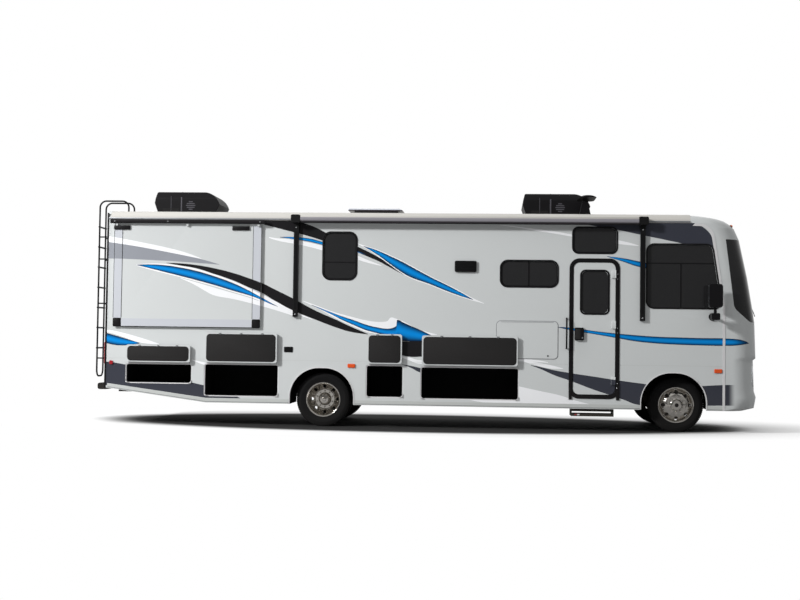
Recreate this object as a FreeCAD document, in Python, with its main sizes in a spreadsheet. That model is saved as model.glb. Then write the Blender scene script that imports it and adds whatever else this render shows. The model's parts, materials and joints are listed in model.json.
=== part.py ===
import FreeCAD, Part

import math
import os

import Sketcher
from FreeCAD import Rotation, Vector

# A front-engined motor coach with a slide-out room on each side, in millimetres.
# +X points to the nose, +Y to the driver's side (the road side) and +Z up. The kerb side is -Y.
# A station is a distance ahead of the rear wall's outer face, a height is above the ground,
# and the origin is on the ground under the middle of the coach.

SIZES = (
    # the coach body as a whole
    ("body_width", 2540),
    ("nose_station", 9907),
    ("ladder_reach", 190),
    ("wall_thick", 38),
    ("skin_thick", 30),
    ("sill_height", 335),
    ("gutter_height", 3108),
    ("roof_edge_height", 3243),
    ("roof_crown_height", 3300),
    ("roof_round", 120),
    ("roof_flat_width", 600),
    ("roof_thick", 60),
    ("rear_cap_thick", 45),
    ("tail_low_height", 536),
    ("tail_rise_station", 1573),
    ("floor_height", 1010),
    ("floor_thick", 50),
    ("overrun", 400),
    ("seat_gap", 0.3),
    # the front cap and its seam with the side walls
    ("seam_roof_station", 8808),
    ("seam_brow_station", 9150),
    ("seam_low_station", 9318),
    ("seam_bend_height", 1870),
    ("seam_brow_round", 170),
    ("seam_bend_round", 600),
    ("cap_corner_round", 380),
    ("cap_bow", 190),
    ("cap_bow_round", 6000),
    ("chin_height", 375),
    ("chin_setback", 190),
    ("bumper_height", 534),
    ("bumper_top_height", 626),
    ("bumper_top_setback", 29),
    ("lamp_top_height", 1083),
    ("lamp_top_setback", 45),
    ("ledge_height", 1115),
    ("ledge_setback", 6),
    ("dash_line_height", 1650),
    ("dash_line_setback", 24),
    ("glass_foot_height", 1909),
    ("glass_foot_setback", 64),
    ("glass_mid_height", 2321),
    ("glass_mid_setback", 134),
    ("glass_head_height", 2875),
    ("glass_head_setback", 254),
    ("brow_height", 3046),
    ("brow_setback", 331),
    ("gutter_setback", 398),
    ("crown_setback", 1050),
    ("windshield_thick", 8),
    ("windshield_top_station", 9324),
    ("windshield_top_height", 2874),
    ("windshield_bend_station", 9450),
    ("windshield_bend_height", 1850),
    ("windshield_foot_station", 9700),
    ("windshield_foot_height", 1645),
    ("windshield_round", 160),
    # wheels and axles
    ("rear_axle_station", 3350),
    ("wheelbase", 5283),
    ("tyre_radius", 405),
    ("tyre_width", 226),
    ("tyre_shoulder_wide", 20),
    ("tyre_shoulder_drop", 34),
    ("rim_seat_radius", 247),
    ("rim_flange_radius", 262),
    ("rim_width", 190),
    ("rim_wall", 10),
    ("rim_offset", 140),
    ("rim_disc_radius", 165),
    ("rim_bore_radius", 62),
    ("hand_hole_radius", 26),
    ("hand_hole_ring_radius", 196),
    ("hub_radius", 95),
    ("hub_length", 62),
    ("hub_nose_radius", 60),
    ("hub_nose_length", 46),
    ("front_wheel_reach", 990),
    ("rear_wheel_reach", 1072),
    ("dual_spacing", 280),
    ("kingpin_reach", 840),
    ("kingpin_radius", 38),
    ("kingpin_length", 210),
    ("spindle_radius", 34),
    ("spindle_gap", 1),
    ("front_beam_thick", 90),
    ("rear_axle_radius", 72),
    ("differential_radius", 190),
    ("spring_wide", 76),
    ("spring_thick", 60),
    ("spring_half_length", 640),
    ("arch_rear_behind", 496),
    ("arch_rear_ahead", 467),
    ("arch_front_behind", 536),
    ("arch_front_ahead", 415),
    ("arch_height", 880),
    ("arch_round", 440),
    ("well_wall", 5),
    ("well_margin", 75),
    ("well_inner_reach", 590),
    ("well_top_height", 950),
    # ladder frame
    ("frame_half_width", 432),
    ("frame_flange", 76),
    ("frame_low_height", 600),
    ("frame_top_height", 840),
    ("frame_web", 10),
    ("frame_tail_station", 250),
    ("frame_nose_station", 9420),
    ("cross_beam_wide", 90),
    # luggage bays
    ("bay_a_rear", 322),
    ("bay_a_front", 1353),
    ("bay_a_low", 612),
    ("bay_a_top", 916),
    ("bay_b_rear", 1537),
    ("bay_b_front", 2679),
    ("bay_b_low", 431),
    ("bay_b_top", 924),
    ("bay_c_rear", 4002),
    ("bay_c_front", 4567),
    ("bay_c_low", 450),
    ("bay_c_top", 938),
    ("bay_d_rear", 4823),
    ("bay_d_front", 6296),
    ("bay_d_low", 438),
    ("bay_d_top", 926),
    ("bay_depth", 670),
    ("bay_sheet", 5),
    ("bay_round", 42),
    ("bay_lip", 14),
    ("bay_door_gap", 8),
    ("bay_door_thick", 38),
    ("bay_hinge_out", 12),
    ("bay_hinge_radius", 7),
    ("bay_leaf_wide", 30),
    # entry door
    ("door_rear", 7030),
    ("door_front", 7775),
    ("door_low", 484),
    ("door_top", 2571),
    ("door_round", 150),
    ("door_frame_wide", 57),
    ("door_frame_proud", 10),
    ("door_gap", 7),
    ("door_thick", 40),
    ("door_glass_rear", 7210),
    ("door_glass_front", 7602),
    ("door_glass_low", 1755),
    ("door_glass_top", 2380),
    ("door_glass_round", 75),
    ("door_hinge_out", 16),
    ("door_hinge_radius", 9),
    ("door_hinge_tall", 120),
    ("handle_rear", 7128),
    ("handle_front", 7228),
    ("handle_low", 1347),
    ("handle_top", 1529),
    ("handle_proud", 34),
    ("grab_station", 6992),
    ("grab_low", 1229),
    ("grab_top", 1672),
    ("grab_radius", 13),
    ("grab_out", 60),
    ("tread_rise", 263),
    ("well_reach_in", 640),
    # windows
    ("tall_window_rear", 3340),
    ("tall_window_front", 3829),
    ("tall_window_low", 2229),
    ("tall_window_top", 2923),
    ("tall_window_round", 105),
    ("wide_window_rear", 6018),
    ("wide_window_front", 6848),
    ("wide_window_low", 2148),
    ("wide_window_top", 2518),
    ("wide_window_round", 95),
    ("over_door_rear", 7087),
    ("over_door_front", 7719),
    ("over_door_low", 2660),
    ("over_door_top", 3023),
    ("over_door_round", 75),
    ("cockpit_rear", 8180),
    ("cockpit_front_top", 9120),
    ("cockpit_front_low", 9262),
    ("cockpit_low", 1853),
    ("cockpit_top", 2780),
    ("cockpit_round", 95),
    ("frame_lip", 24),
    ("frame_proud", 7),
    ("pane_thick", 8),
    ("pane_inset", 10),
    ("vent_rear", 5320),
    ("vent_front", 5646),
    ("vent_low", 2349),
    ("vent_top", 2518),
    ("vent_proud", 30),
    ("vent_round", 22),
    # slide-out rooms
    ("kerb_room_rear", 119),
    ("kerb_room_front", 2394),
    ("kerb_room_low", 1467),
    ("kerb_room_top", 3058),
    ("kerb_room_depth", 640),
    ("road_room_rear", 3900),
    ("road_room_front", 7580),
    ("road_room_low", 1020),
    ("road_room_top", 2990),
    ("road_room_depth", 800),
    ("room_lip", 110),
    ("room_lip_thick", 34),
    ("room_round", 60),
    ("room_wall", 40),
    ("room_gap", 12),
    ("topper_radius", 34),
    ("topper_over", 50),
    # awning
    ("awning_arm_rear", 2922),
    ("awning_arm_front", 8106),
    ("awning_arm_wide", 74),
    ("awning_arm_thick", 46),
    ("awning_foot_height", 1648),
    ("awning_tube_height", 3126),
    ("awning_tube_radius", 60),
    ("awning_tube_out", 92),
    ("awning_cap_long", 140),
    # roof pieces
    ("rear_cooler_station", 1005),
    ("front_cooler_station", 6880),
    ("cooler_long", 1055),
    ("cooler_wide", 740),
    ("cooler_top_height", 3650),
    ("cooler_nose_round", 285),
    ("cooler_round", 30),
    ("cooler_side_inset", 60),
    ("vent_panel_station", 4030),
    ("vent_panel_long", 880),
    ("vent_panel_wide", 560),
    ("vent_panel_low", 3370),
    ("vent_panel_thick", 36),
    ("vent_panel_slope", 60),
    ("vent_curb_inset", 90),
    ("antenna_rear", 7180),
    ("antenna_front", 7450),
    ("antenna_side", 740),
    ("antenna_span", 640),
    ("antenna_crest_height", 3558),
    ("antenna_edge_height", 3522),
    ("antenna_low_height", 3516),
    ("antenna_crest_round", 400),
    ("antenna_end_round", 110),
    ("antenna_foot_rear", 7200),
    ("antenna_foot_front", 7384),
    ("antenna_neck_rear", 7255),
    ("antenna_neck_front", 7320),
    ("antenna_foot_wide", 150),
    # ladder on the tail
    ("ladder_near_reach", 1100),
    ("ladder_wide", 300),
    ("ladder_low_height", 692),
    ("ladder_top_height", 3420),
    ("ladder_hook_station", 275),
    ("ladder_tube_radius", 13),
    ("ladder_bend_round", 100),
    ("ladder_first_rung", 1139),
    ("ladder_rung_pitch", 311),
    # tail
    ("tail_bumper_reach", 146),
    ("tail_bumper_low", 505),
    ("tail_bumper_tall", 100),
    ("tail_bumper_wide", 2280),
    ("tail_bumper_round", 34),
    ("receiver_half", 38),
    ("receiver_bore_half", 26),
    ("receiver_long", 330),
    ("hitch_pin_radius", 8.25),
    ("hitch_pin_setback", 60),
    ("tail_lamp_wide", 108),
    ("tail_lamp_tall", 330),
    ("tail_lamp_low", 900),
    ("tail_lamp_inset", 36),
    ("tail_lamp_proud", 26),
    # mirrors
    ("mirror_station", 9132),
    ("mirror_head_wide", 200),
    ("mirror_head_tall", 343),
    ("mirror_head_deep", 130),
    ("mirror_head_low", 1852),
    ("mirror_head_reach", 1420),
    ("mirror_base_wide", 122),
    ("mirror_base_low", 1670),
    ("mirror_base_tall", 101),
    ("mirror_base_round", 20),
    ("mirror_arm_height", 1720),
    ("mirror_arm_radius", 22),
    ("mirror_foot_radius", 58),
    ("mirror_foot_thick", 26),
    ("mirror_round", 40),
    # hatches and small wall pieces
    ("hatch_rear", 5958),
    ("hatch_front", 6864),
    ("hatch_low", 1068),
    ("hatch_top", 1622),
    ("hatch_round", 60),
    ("hatch_proud", 8),
    ("outlet_rear", 2757),
    ("outlet_front", 2892),
    ("outlet_low", 1112),
    ("outlet_top", 1195),
    ("outlet_round", 14),
    ("marker_long", 116),
    ("marker_tall", 60),
    ("marker_proud", 18),
    ("marker_height", 891),
    ("marker_mid_station", 3783),
    ("marker_nose_station", 9217),
    ("marker_tail_station", 100),
    # step under the entry door
    ("step_rear", 7072),
    ("step_front", 7700),
    ("step_low", 222),
    ("step_top", 331),
    ("step_deep", 330),
    ("step_tread_thick", 36),
    # nose pieces
    ("headlamp_reach", 950),
    ("headlamp_wide", 300),
    ("headlamp_low", 690),
    ("headlamp_tall", 300),
    ("grille_wide", 980),
    ("grille_low", 660),
    ("grille_tall", 400),
    ("grille_bar_tall", 26),
    ("grille_bars", 6),
    # cab
    ("seat_station", 8380),
    ("seat_side", 600),
    ("seat_wide", 560),
    ("seat_long", 540),
    ("cushion_height", 1400),
    ("cushion_thick", 130),
    ("seat_back_tall", 760),
    ("seat_back_thick", 130),
    ("seat_round", 45),
    ("seat_post_radius", 110),
    ("dash_rear_station", 8960),
    ("dash_top_height", 1500),
    ("dash_inset", 60),
    ("steering_station", 8830),
    ("steering_height", 1560),
    ("steering_radius", 215),
    ("steering_grip", 16),
    ("steering_hub", 55),
    ("column_length", 330),
    ("cowl_wide", 760),
    ("cowl_top_height", 1330),
    ("cowl_rear_station", 8520),
    # drive line and tanks
    ("engine_rear", 8250),
    ("engine_front", 9150),
    ("engine_wide", 640),
    ("engine_low", 420),
    ("engine_top", 960),
    ("shaft_radius", 48),
    ("tank_rear", 4300),
    ("tank_front", 6300),
    ("tank_low", 560),
)

# Heights up the round roof edge, as shares of its rise, where its flats meet.
EDGE_SHARES = (0.4, 0.66, 0.867)
# How far the brow has gone back at those heights and at the roof's edge, as shares of its run.
BROW_SHARES = (0.13, 0.31, 0.575, 0.84)
# Corners of a roof cooler's side view, as shares of its length and rise, front end last but two.
COOLER_SHARES = ((0.057, 0), (0.935, 0), (1, 0.41), (0.9415, 1), (0.031, 1), (0, 0.47))
COOLER_SHOULDER_SHARE = 0.7
# Places of repeated pieces, as shares of the piece that they sit on.
DOOR_HINGE_SHARES = (0.1, 0.5, 0.86)
CROSS_BEAM_SHARES = (0.04, 0.2, 0.36, 0.52, 0.68, 0.84)
TOPPER_ARM_SHARES = (0.02, 0.5, 0.98)
LADDER_STAY_SHARES = (0.106, 0.415, 0.666, 0.791)
# Sizes of the steering wheel's pieces, as shares of its grip or hub.
SPOKE_SHARE = 0.8
BOSS_SHARE = 3
COLUMN_SHARE = 0.6
STAY_SHARE = 0.8
HAND_HOLES = 8
LADDER_RUNGS = 7
STEERING_SPOKES = 3
COLUMN_LEAN = 60

doc = FreeCAD.newDocument("MotorCoach")
sheet = doc.addObject("Spreadsheet::Sheet", "Sizes")


class Size:
    """A length in millimetres together with the sheet expression that gives it."""

    def __init__(self, value, text):
        self.value = value
        self.text = text

    def __add__(self, other):
        other = sized(other)
        return Size(self.value + other.value, f"({self.text} + {other.text})")

    def __sub__(self, other):
        other = sized(other)
        return Size(self.value - other.value, f"({self.text} - {other.text})")

    def __mul__(self, other):
        other = sized(other)
        return Size(self.value * other.value, f"({self.text} * {other.text})")

    def __truediv__(self, other):
        other = sized(other)
        return Size(self.value / other.value, f"({self.text} / {other.text})")

    def __neg__(self):
        return Size(-self.value, f"(0 - {self.text})")

    __radd__ = __add__
    __rmul__ = __mul__


def sized(item):
    """A plain number, such as zero or a share, as a Size."""
    if isinstance(item, Size):
        return item
    return Size(item, repr(item))


def root(size):
    return Size(math.sqrt(size.value), f"sqrt({size.text})")


class Named:
    """The sheet's cells, one attribute for each alias."""


size = Named()
for row, (alias, number) in enumerate(SIZES, start=1):
    sheet.set(f"A{row}", str(number))
    sheet.setAlias(f"A{row}", alias)
    setattr(size, alias, Size(number, f"Sizes.{alias}"))
doc.recompute()

# Places that several pieces share.
half_width = size.body_width / 2
inner_half = half_width - size.wall_thick
middle = (size.nose_station - size.ladder_reach) / 2
front_axle_station = size.rear_axle_station + size.wheelbase
roof_flat_half = size.roof_flat_width / 2
KERB = -1
ROAD = 1
SIDES = (("kerb", KERB), ("road", ROAD))


def bind(item, prop, amount):
    item.setExpression(prop, sized(amount).text)


def place(item, x=0, y=0, z=0):
    """Put an object's own origin at a station, a side reach and a height."""
    bind(item, "Placement.Base.x", x)
    bind(item, "Placement.Base.y", y)
    bind(item, "Placement.Base.z", z)


def block(name, rear, front, right, left, low, top):
    """A box between two stations, two side places and two heights."""
    item = doc.addObject("Part::Box", name)
    bind(item, "Length", front - rear)
    bind(item, "Width", left - right)
    bind(item, "Height", top - low)
    place(item, sized(rear) - middle, right, low)
    return item


def drum(name, along, centre, radius, length):
    """A cylinder that starts at centre and runs along +X, +Y or +Z."""
    turns = {"X": Rotation(Vector(0, 1, 0), 90), "Y": Rotation(Vector(-1, 0, 0), 90), "Z": Rotation()}
    item = doc.addObject("Part::Cylinder", name)
    item.Placement.Rotation = turns[along]
    bind(item, "Radius", radius)
    bind(item, "Height", length)
    place(item, sized(centre[0]) - middle, centre[1], centre[2])
    return item


def fuse(name, items):
    item = doc.addObject("Part::MultiFuse", name)
    item.Shapes = list(items)
    return item


def cut(name, base, tools):
    tool = tools[0]
    if len(tools) > 1:
        tool = doc.addObject("Part::MultiFuse", f"{name}_tools")
        tool.Shapes = list(tools)
    item = doc.addObject("Part::Cut", name)
    item.Base = base
    item.Tool = tool
    return item


def common(name, base, tool):
    item = doc.addObject("Part::MultiCommon", name)
    item.Shapes = [base, tool]
    return item


def group(name, items):
    """Several solids that don't touch, kept as one node."""
    item = doc.addObject("Part::Compound", name)
    item.Links = list(items)
    return item


def mirrored(name, base):
    """The same piece on the other side of the coach."""
    item = doc.addObject("Part::Mirroring", name)
    item.Source = base
    item.Base = Vector(0, 0, 0)
    item.Normal = Vector(0, 1, 0)
    return item


def both_sides(name, base):
    return group(name, [base, mirrored(f"{name}_other", base)])


def oblong(rear, front, low, top, radius):
    """The corners of a rectangle with equal rounds."""
    return [(rear, low, radius), (front, low, radius), (front, top, radius), (rear, top, radius)]


def grown(corners_of, by):
    """The four limits and the round of an oblong, moved out by one margin."""
    rear, front, low, top, radius = corners_of
    return (rear - by, front + by, low - by, top + by, radius + by)


def draw(sketch, corners):
    """Add one closed loop. Each corner is (across, up, radius), and radius 0 leaves it sharp.

    Every corner point is held at its place by two distances, and every round by its radius.
    """
    corners = [(sized(a), sized(b), sized(r)) for a, b, r in corners]
    count = len(corners)
    spots = [Vector(a.value, b.value, 0) for a, b, _ in corners]
    starts, ends, centres = [], [], []
    for index, (_, _, radius) in enumerate(corners):
        spot = spots[index]
        if not radius.value:
            starts.append(spot)
            ends.append(spot)
            centres.append(None)
            continue
        back = (spots[index - 1] - spot).normalize()
        ahead = (spots[(index + 1) % count] - spot).normalize()
        half_angle = back.getAngle(ahead) / 2
        reach = radius.value / math.tan(half_angle)
        starts.append(spot + back * reach)
        ends.append(spot + ahead * reach)
        centres.append(spot + (back + ahead).normalize() * (radius.value / math.sin(half_angle)))
    lines = [Part.LineSegment(ends[i], starts[(i + 1) % count]) for i in range(count)]
    line_ids = sketch.addGeometry(lines, False)
    rules = []
    bound = []
    for index, (across, up, radius) in enumerate(corners):
        before, after = line_ids[index - 1], line_ids[index]
        if centres[index] is None:
            rules.append(Sketcher.Constraint("Coincident", before, 2, after, 1))
            holder, end = after, 1
        else:
            a, b, c = starts[index], ends[index], centres[index]
            first = math.atan2(a.y - c.y, a.x - c.x)
            last = math.atan2(b.y - c.y, b.x - c.x)
            turns_left = (b.x - a.x) * (c.y - a.y) - (b.y - a.y) * (c.x - a.x) > 0
            if not turns_left:
                first, last = last, first
            circle = Part.Circle(c, Vector(0, 0, 1), radius.value)
            arc = sketch.addGeometry(Part.ArcOfCircle(circle, first, last), False)
            holder = sketch.addGeometry(Part.Point(spots[index]), True)
            end = 1
            near, far = (1, 2) if turns_left else (2, 1)
            rules.append(Sketcher.Constraint("Tangent", before, 2, arc, near))
            rules.append(Sketcher.Constraint("Tangent", arc, far, after, 1))
            rules.append(Sketcher.Constraint("PointOnObject", holder, 1, before))
            rules.append(Sketcher.Constraint("PointOnObject", holder, 1, after))
            bound.append((len(rules), radius))
            rules.append(Sketcher.Constraint("Radius", arc, radius.value))
        bound.append((len(rules), across))
        rules.append(Sketcher.Constraint("DistanceX", -1, 1, holder, end, across.value))
        bound.append((len(rules), up))
        rules.append(Sketcher.Constraint("DistanceY", -1, 1, holder, end, up.value))
    ids = sketch.addConstraint(rules)
    for position, amount in bound:
        if amount.text.replace(".", "").isdigit():
            continue
        sketch.setExpression(f"Constraints[{ids[position]}]", amount.text)


PLANES = {"side": "XZ_Plane", "plan": "XY_Plane", "end": "YZ_Plane"}


def sketch_in(body, name, plane, loops):
    role = PLANES[plane]
    face = [item for item in body.Origin.OriginFeatures if item.Role == role][0]
    sketch = body.newObject("Sketcher::SketchObject", name)
    sketch.AttachmentSupport = [(face, "")]
    sketch.MapMode = "FlatFace"
    for corners in loops:
        draw(sketch, corners)
    return sketch


def slab(name, plane, loops, start, finish):
    """Closed loops padded between two places square to their plane. Inner loops are holes.

    A side slab is drawn in stations and heights, a plan slab in stations and side places,
    and an end slab in side places and heights.
    """
    body = doc.addObject("PartDesign::Body", name)
    sketch = sketch_in(body, f"{name}_outline", plane, loops)
    pad = body.newObject("PartDesign::Pad", f"{name}_pad")
    pad.Profile = sketch
    pad.Reversed = plane == "side"
    bind(pad, "Length", sized(finish) - start)
    if plane == "side":
        place(body, -middle, start, 0)
    elif plane == "plan":
        place(body, -middle, 0, start)
    else:
        place(body, sized(start) - middle, 0, 0)
    return body


def pierce(body, name, plane, loops, depth):
    """Cut closed loops through a slab from its start side."""
    sketch = sketch_in(body, f"{name}_outline", plane, loops)
    pocket = body.newObject("PartDesign::Pocket", f"{name}_pocket")
    pocket.Profile = sketch
    bind(pocket, "Length", depth)
    return body


def turned(name, profile, x, y, z):
    """A ring about an axis along Y. The profile is in side places and radii."""
    body = doc.addObject("PartDesign::Body", name)
    sketch = sketch_in(body, f"{name}_section", "end", [profile])
    ring = body.newObject("PartDesign::Revolution", f"{name}_ring")
    ring.Profile = sketch
    ring.ReferenceAxis = (sketch, ["H_Axis"])
    ring.Angle = 360
    place(body, sized(x) - middle, y, z)
    return body


def pipe(name, route, radius):
    """A round tube along straight runs with arcs at the inner points.

    The route's points are (station, side place, height, bend radius).
    """
    spots = []
    for station, side, height, _ in route:
        spots.append(Vector((sized(station) - middle).value, sized(side).value, sized(height).value))
    edges = []
    last = spots[0]
    for index in range(1, len(spots) - 1):
        bend = sized(route[index][3]).value
        back = (spots[index - 1] - spots[index]).normalize()
        ahead = (spots[index + 1] - spots[index]).normalize()
        half_angle = back.getAngle(ahead) / 2
        reach = bend / math.tan(half_angle)
        start = spots[index] + back * reach
        end = spots[index] + ahead * reach
        centre = spots[index] + (back + ahead).normalize() * (bend / math.sin(half_angle))
        middle_spot = centre + (spots[index] - centre).normalize() * bend
        edges.append(Part.LineSegment(last, start).toShape())
        edges.append(Part.Arc(start, middle_spot, end).toShape())
        last = end
    edges.append(Part.LineSegment(last, spots[-1]).toShape())
    section = Part.Wire([Part.makeCircle(radius.value, spots[0], spots[1] - spots[0])])
    item = doc.addObject("Part::Feature", name)
    item.Shape = Part.Wire(edges).makePipeShell([section], True, False)
    return item


nodes = []


def keep(name, item):
    """Name a finished sub-part."""
    item.Label = name
    nodes.append(item)
    return item


def outward(side, reach):
    """A place on the kerb side (-) or the road side (+) of the middle plane."""
    return sized(reach) * side


def span(side, near, far):
    """The lower and the higher of two side reaches, whichever side they are on."""
    places = (outward(side, near), outward(side, far))
    return places if side == ROAD else (places[1], places[0])


# Body shell


def roof_line(margin):
    """Corners of the roof's cross-section from the kerb gutter over to the road gutter."""
    rise = size.roof_edge_height - size.gutter_height
    right = [(-(half_width - margin), size.gutter_height, 0)]
    for share in EDGE_SHARES:
        inset = size.roof_round * (1 - math.sqrt(1 - share * share))
        right.append((-(half_width - margin - inset), size.gutter_height + (rise - margin) * share, 0))
    right.append((-(half_width - size.roof_round), size.roof_edge_height - margin, 0))
    right.append((-roof_flat_half, size.roof_crown_height - margin, 0))
    left = [(-a, b, r) for a, b, r in reversed(right)]
    return right + left


def make_roof():
    inner = [(a, b, r) for a, b, r in roof_line(size.roof_thick)]
    outline = roof_line(sized(0)) + list(reversed(inner))
    roof = slab("roof_shell", "end", [outline], size.rear_cap_thick, size.seam_roof_station)
    return keep("roof", roof)


def make_rear_cap():
    right = [(-half_width, size.tail_low_height, 0)]
    left = [(half_width, size.tail_low_height, 0)]
    outline = right + roof_line(sized(0)) + left
    return keep("rear_cap", slab("tail_wall", "end", [outline], sized(0), size.rear_cap_thick))


def cap_section(body, index, height, setback, share, margin):
    """One level outline of the nose: straight sides, round corners and a bowed front."""
    half = half_width * share - margin
    lean = size.cap_bow / half_width
    bow_round = size.cap_bow_round * share
    crest = bow_round * (root(lean * lean + 1) - 1)
    apex = size.nose_station - setback - margin + crest
    bow = half * lean
    rear = size.seam_roof_station - size.overrun
    corner = size.cap_corner_round * share - margin
    outline = [
        (rear, -half, 0),
        (apex - bow, -half, corner),
        (apex, 0, bow_round),
        (apex - bow, half, corner),
        (rear, half, 0),
    ]
    sketch = sketch_in(body, f"{body.Name}_level_{index}", "plan", [outline])
    bind(sketch, "AttachmentOffset.Base.z", height)
    return sketch


def cap_levels():
    """Height, setback from the nose and width share of each level of the front cap."""
    rise = size.roof_edge_height - size.gutter_height
    levels = [
        (size.sill_height, size.chin_setback, 1),
        (size.chin_height, size.bumper_top_setback, 1),
        (size.bumper_height, sized(0), 1),
        (size.bumper_top_height, size.bumper_top_setback, 1),
        (size.lamp_top_height, size.lamp_top_setback, 1),
        (size.ledge_height, size.ledge_setback, 1),
        (size.dash_line_height, size.dash_line_setback, 1),
        (size.glass_foot_height, size.glass_foot_setback, 1),
        (size.glass_mid_height, size.glass_mid_setback, 1),
        (size.glass_head_height, size.glass_head_setback, 1),
        (size.brow_height, size.brow_setback, 1),
        (size.gutter_height, size.gutter_setback, 1),
    ]
    brow_run = size.crown_setback - size.gutter_setback
    for share, back_share in zip(EDGE_SHARES, BROW_SHARES):
        inset = size.roof_round * (1 - math.sqrt(1 - share * share))
        width_share = (half_width - inset) / half_width
        height = size.gutter_height + rise * share
        levels.append((height, size.gutter_setback + brow_run * back_share, width_share))
    edge_share = (half_width - size.roof_round) / half_width
    levels.append((size.roof_edge_height, size.gutter_setback + brow_run * BROW_SHARES[-1], edge_share))
    levels.append((size.roof_crown_height, size.crown_setback, roof_flat_half / half_width))
    return levels


def nose_form(name, margin):
    """The solid nose, moved in by a margin all over."""
    body = doc.addObject("PartDesign::Body", name)
    sections = []
    levels = cap_levels()
    for index, (height, setback, share) in enumerate(levels):
        if index == len(levels) - 1 or index == 0:
            height = height - margin if index else height
        sections.append(cap_section(body, index, height, setback, share, margin))
    loft = body.newObject("PartDesign::AdditiveLoft", f"{name}_loft")
    loft.Profile = sections[0]
    loft.Sections = sections[1:]
    loft.Ruled = True
    place(body, -middle, 0, 0)
    return body


def seam_corners(low, rear):
    """The corners of all that lies behind the front cap's seam."""
    top = size.roof_crown_height + size.overrun
    return [
        (rear, low, 0),
        (size.seam_low_station, low, 0),
        (size.seam_low_station, size.seam_bend_height, size.seam_bend_round),
        (size.seam_brow_station, size.gutter_height, size.seam_brow_round),
        (size.seam_roof_station, size.gutter_height, 0),
        (size.seam_roof_station, top, 0),
        (rear, top, 0),
    ]


def make_front_cap():
    wide = half_width + size.overrun
    rear = size.seam_roof_station - size.overrun * 2
    behind = slab("behind_seam", "side", [seam_corners(sized(0), rear)], -wide, wide)
    ahead = size.nose_station + size.overrun
    glass_corners = [
        (size.windshield_top_station, size.windshield_top_height, 0),
        (size.windshield_bend_station, size.windshield_bend_height, size.windshield_round),
        (size.windshield_foot_station, size.windshield_foot_height, size.windshield_round),
        (ahead, size.windshield_foot_height, 0),
        (ahead, size.windshield_top_height, 0),
    ]
    glass_region = slab("windshield_region", "side", [glass_corners], -wide, wide)
    outer = nose_form("nose_outer", sized(0))
    inner = nose_form("nose_inner", size.skin_thick)
    skin = nose_form("nose_glass_inner", size.windshield_thick)
    pane = cut("windshield_skin", outer, [skin])
    keep("windshield", common("windshield_pane", pane, glass_region))
    return keep("front_cap", cut("nose_shell", outer, [inner, behind, glass_region]))


def arch_corners(station, behind, ahead):
    rear = station - behind
    front = station + ahead
    return [
        (rear, size.sill_height, 0),
        (rear, size.arch_height, size.arch_round),
        (front, size.arch_height, size.arch_round),
        (front, size.sill_height, 0),
    ]


def wall_outline():
    corners = [
        (size.rear_cap_thick, size.tail_low_height, 0),
        (size.tail_rise_station, size.sill_height, 0),
    ]
    corners += arch_corners(size.rear_axle_station, size.arch_rear_behind, size.arch_rear_ahead)
    corners += arch_corners(front_axle_station, size.arch_front_behind, size.arch_front_ahead)
    corners += [
        (size.seam_low_station, size.sill_height, 0),
        (size.seam_low_station, size.seam_bend_height, size.seam_bend_round),
        (size.seam_brow_station, size.gutter_height, size.seam_brow_round),
        (size.rear_cap_thick, size.gutter_height, 0),
    ]
    return corners


def bays():
    """Rear, front, low and top limits of each luggage bay's opening."""
    return {
        "tail": (size.bay_a_rear, size.bay_a_front, size.bay_a_low, size.bay_a_top),
        "aft": (size.bay_b_rear, size.bay_b_front, size.bay_b_low, size.bay_b_top),
        "mid": (size.bay_c_rear, size.bay_c_front, size.bay_c_low, size.bay_c_top),
        "long": (size.bay_d_rear, size.bay_d_front, size.bay_d_low, size.bay_d_top),
    }


ROAD_BAYS = ("tail", "aft", "long")


def cockpit_corners(margin):
    rise = size.cockpit_top - size.cockpit_low
    lean = (size.cockpit_front_low - size.cockpit_front_top) / rise
    radius = size.cockpit_round + margin
    low = size.cockpit_low - margin
    top = size.cockpit_top + margin
    return [
        (size.cockpit_rear - margin, low, radius),
        (size.cockpit_front_low + margin + lean * margin, low, radius),
        (size.cockpit_front_top + margin - lean * margin, top, radius),
        (size.cockpit_rear - margin, top, radius),
    ]


def plain_windows():
    """Limits and corner round of each straight-sided side window, by wall."""
    tall = (
        size.tall_window_rear,
        size.tall_window_front,
        size.tall_window_low,
        size.tall_window_top,
        size.tall_window_round,
    )
    wide = (
        size.wide_window_rear,
        size.wide_window_front,
        size.wide_window_low,
        size.wide_window_top,
        size.wide_window_round,
    )
    over = (
        size.over_door_rear,
        size.over_door_front,
        size.over_door_low,
        size.over_door_top,
        size.over_door_round,
    )
    bed_long = size.wide_window_front - size.wide_window_rear
    bed = (size.tail_rise_station - bed_long,) + (size.tail_rise_station,) + wide[2:]
    return {KERB: [tall, wide, over], ROAD: [bed]}


def doorway(margin):
    limits = (size.door_rear, size.door_front, size.door_low, size.door_top, size.door_round)
    return oblong(*grown(limits, margin))


def room_hole(side, margin):
    """The opening that a slide-out room runs through."""
    inset = size.room_lip / 2 - margin
    if side == KERB:
        limits = (size.kerb_room_rear, size.kerb_room_front, size.kerb_room_low, size.kerb_room_top)
    else:
        limits = (size.road_room_rear, size.road_room_front, size.road_room_low, size.road_room_top)
    rear, front, low, top = limits
    return rear + inset, front - inset, low + inset, top - inset


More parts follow.
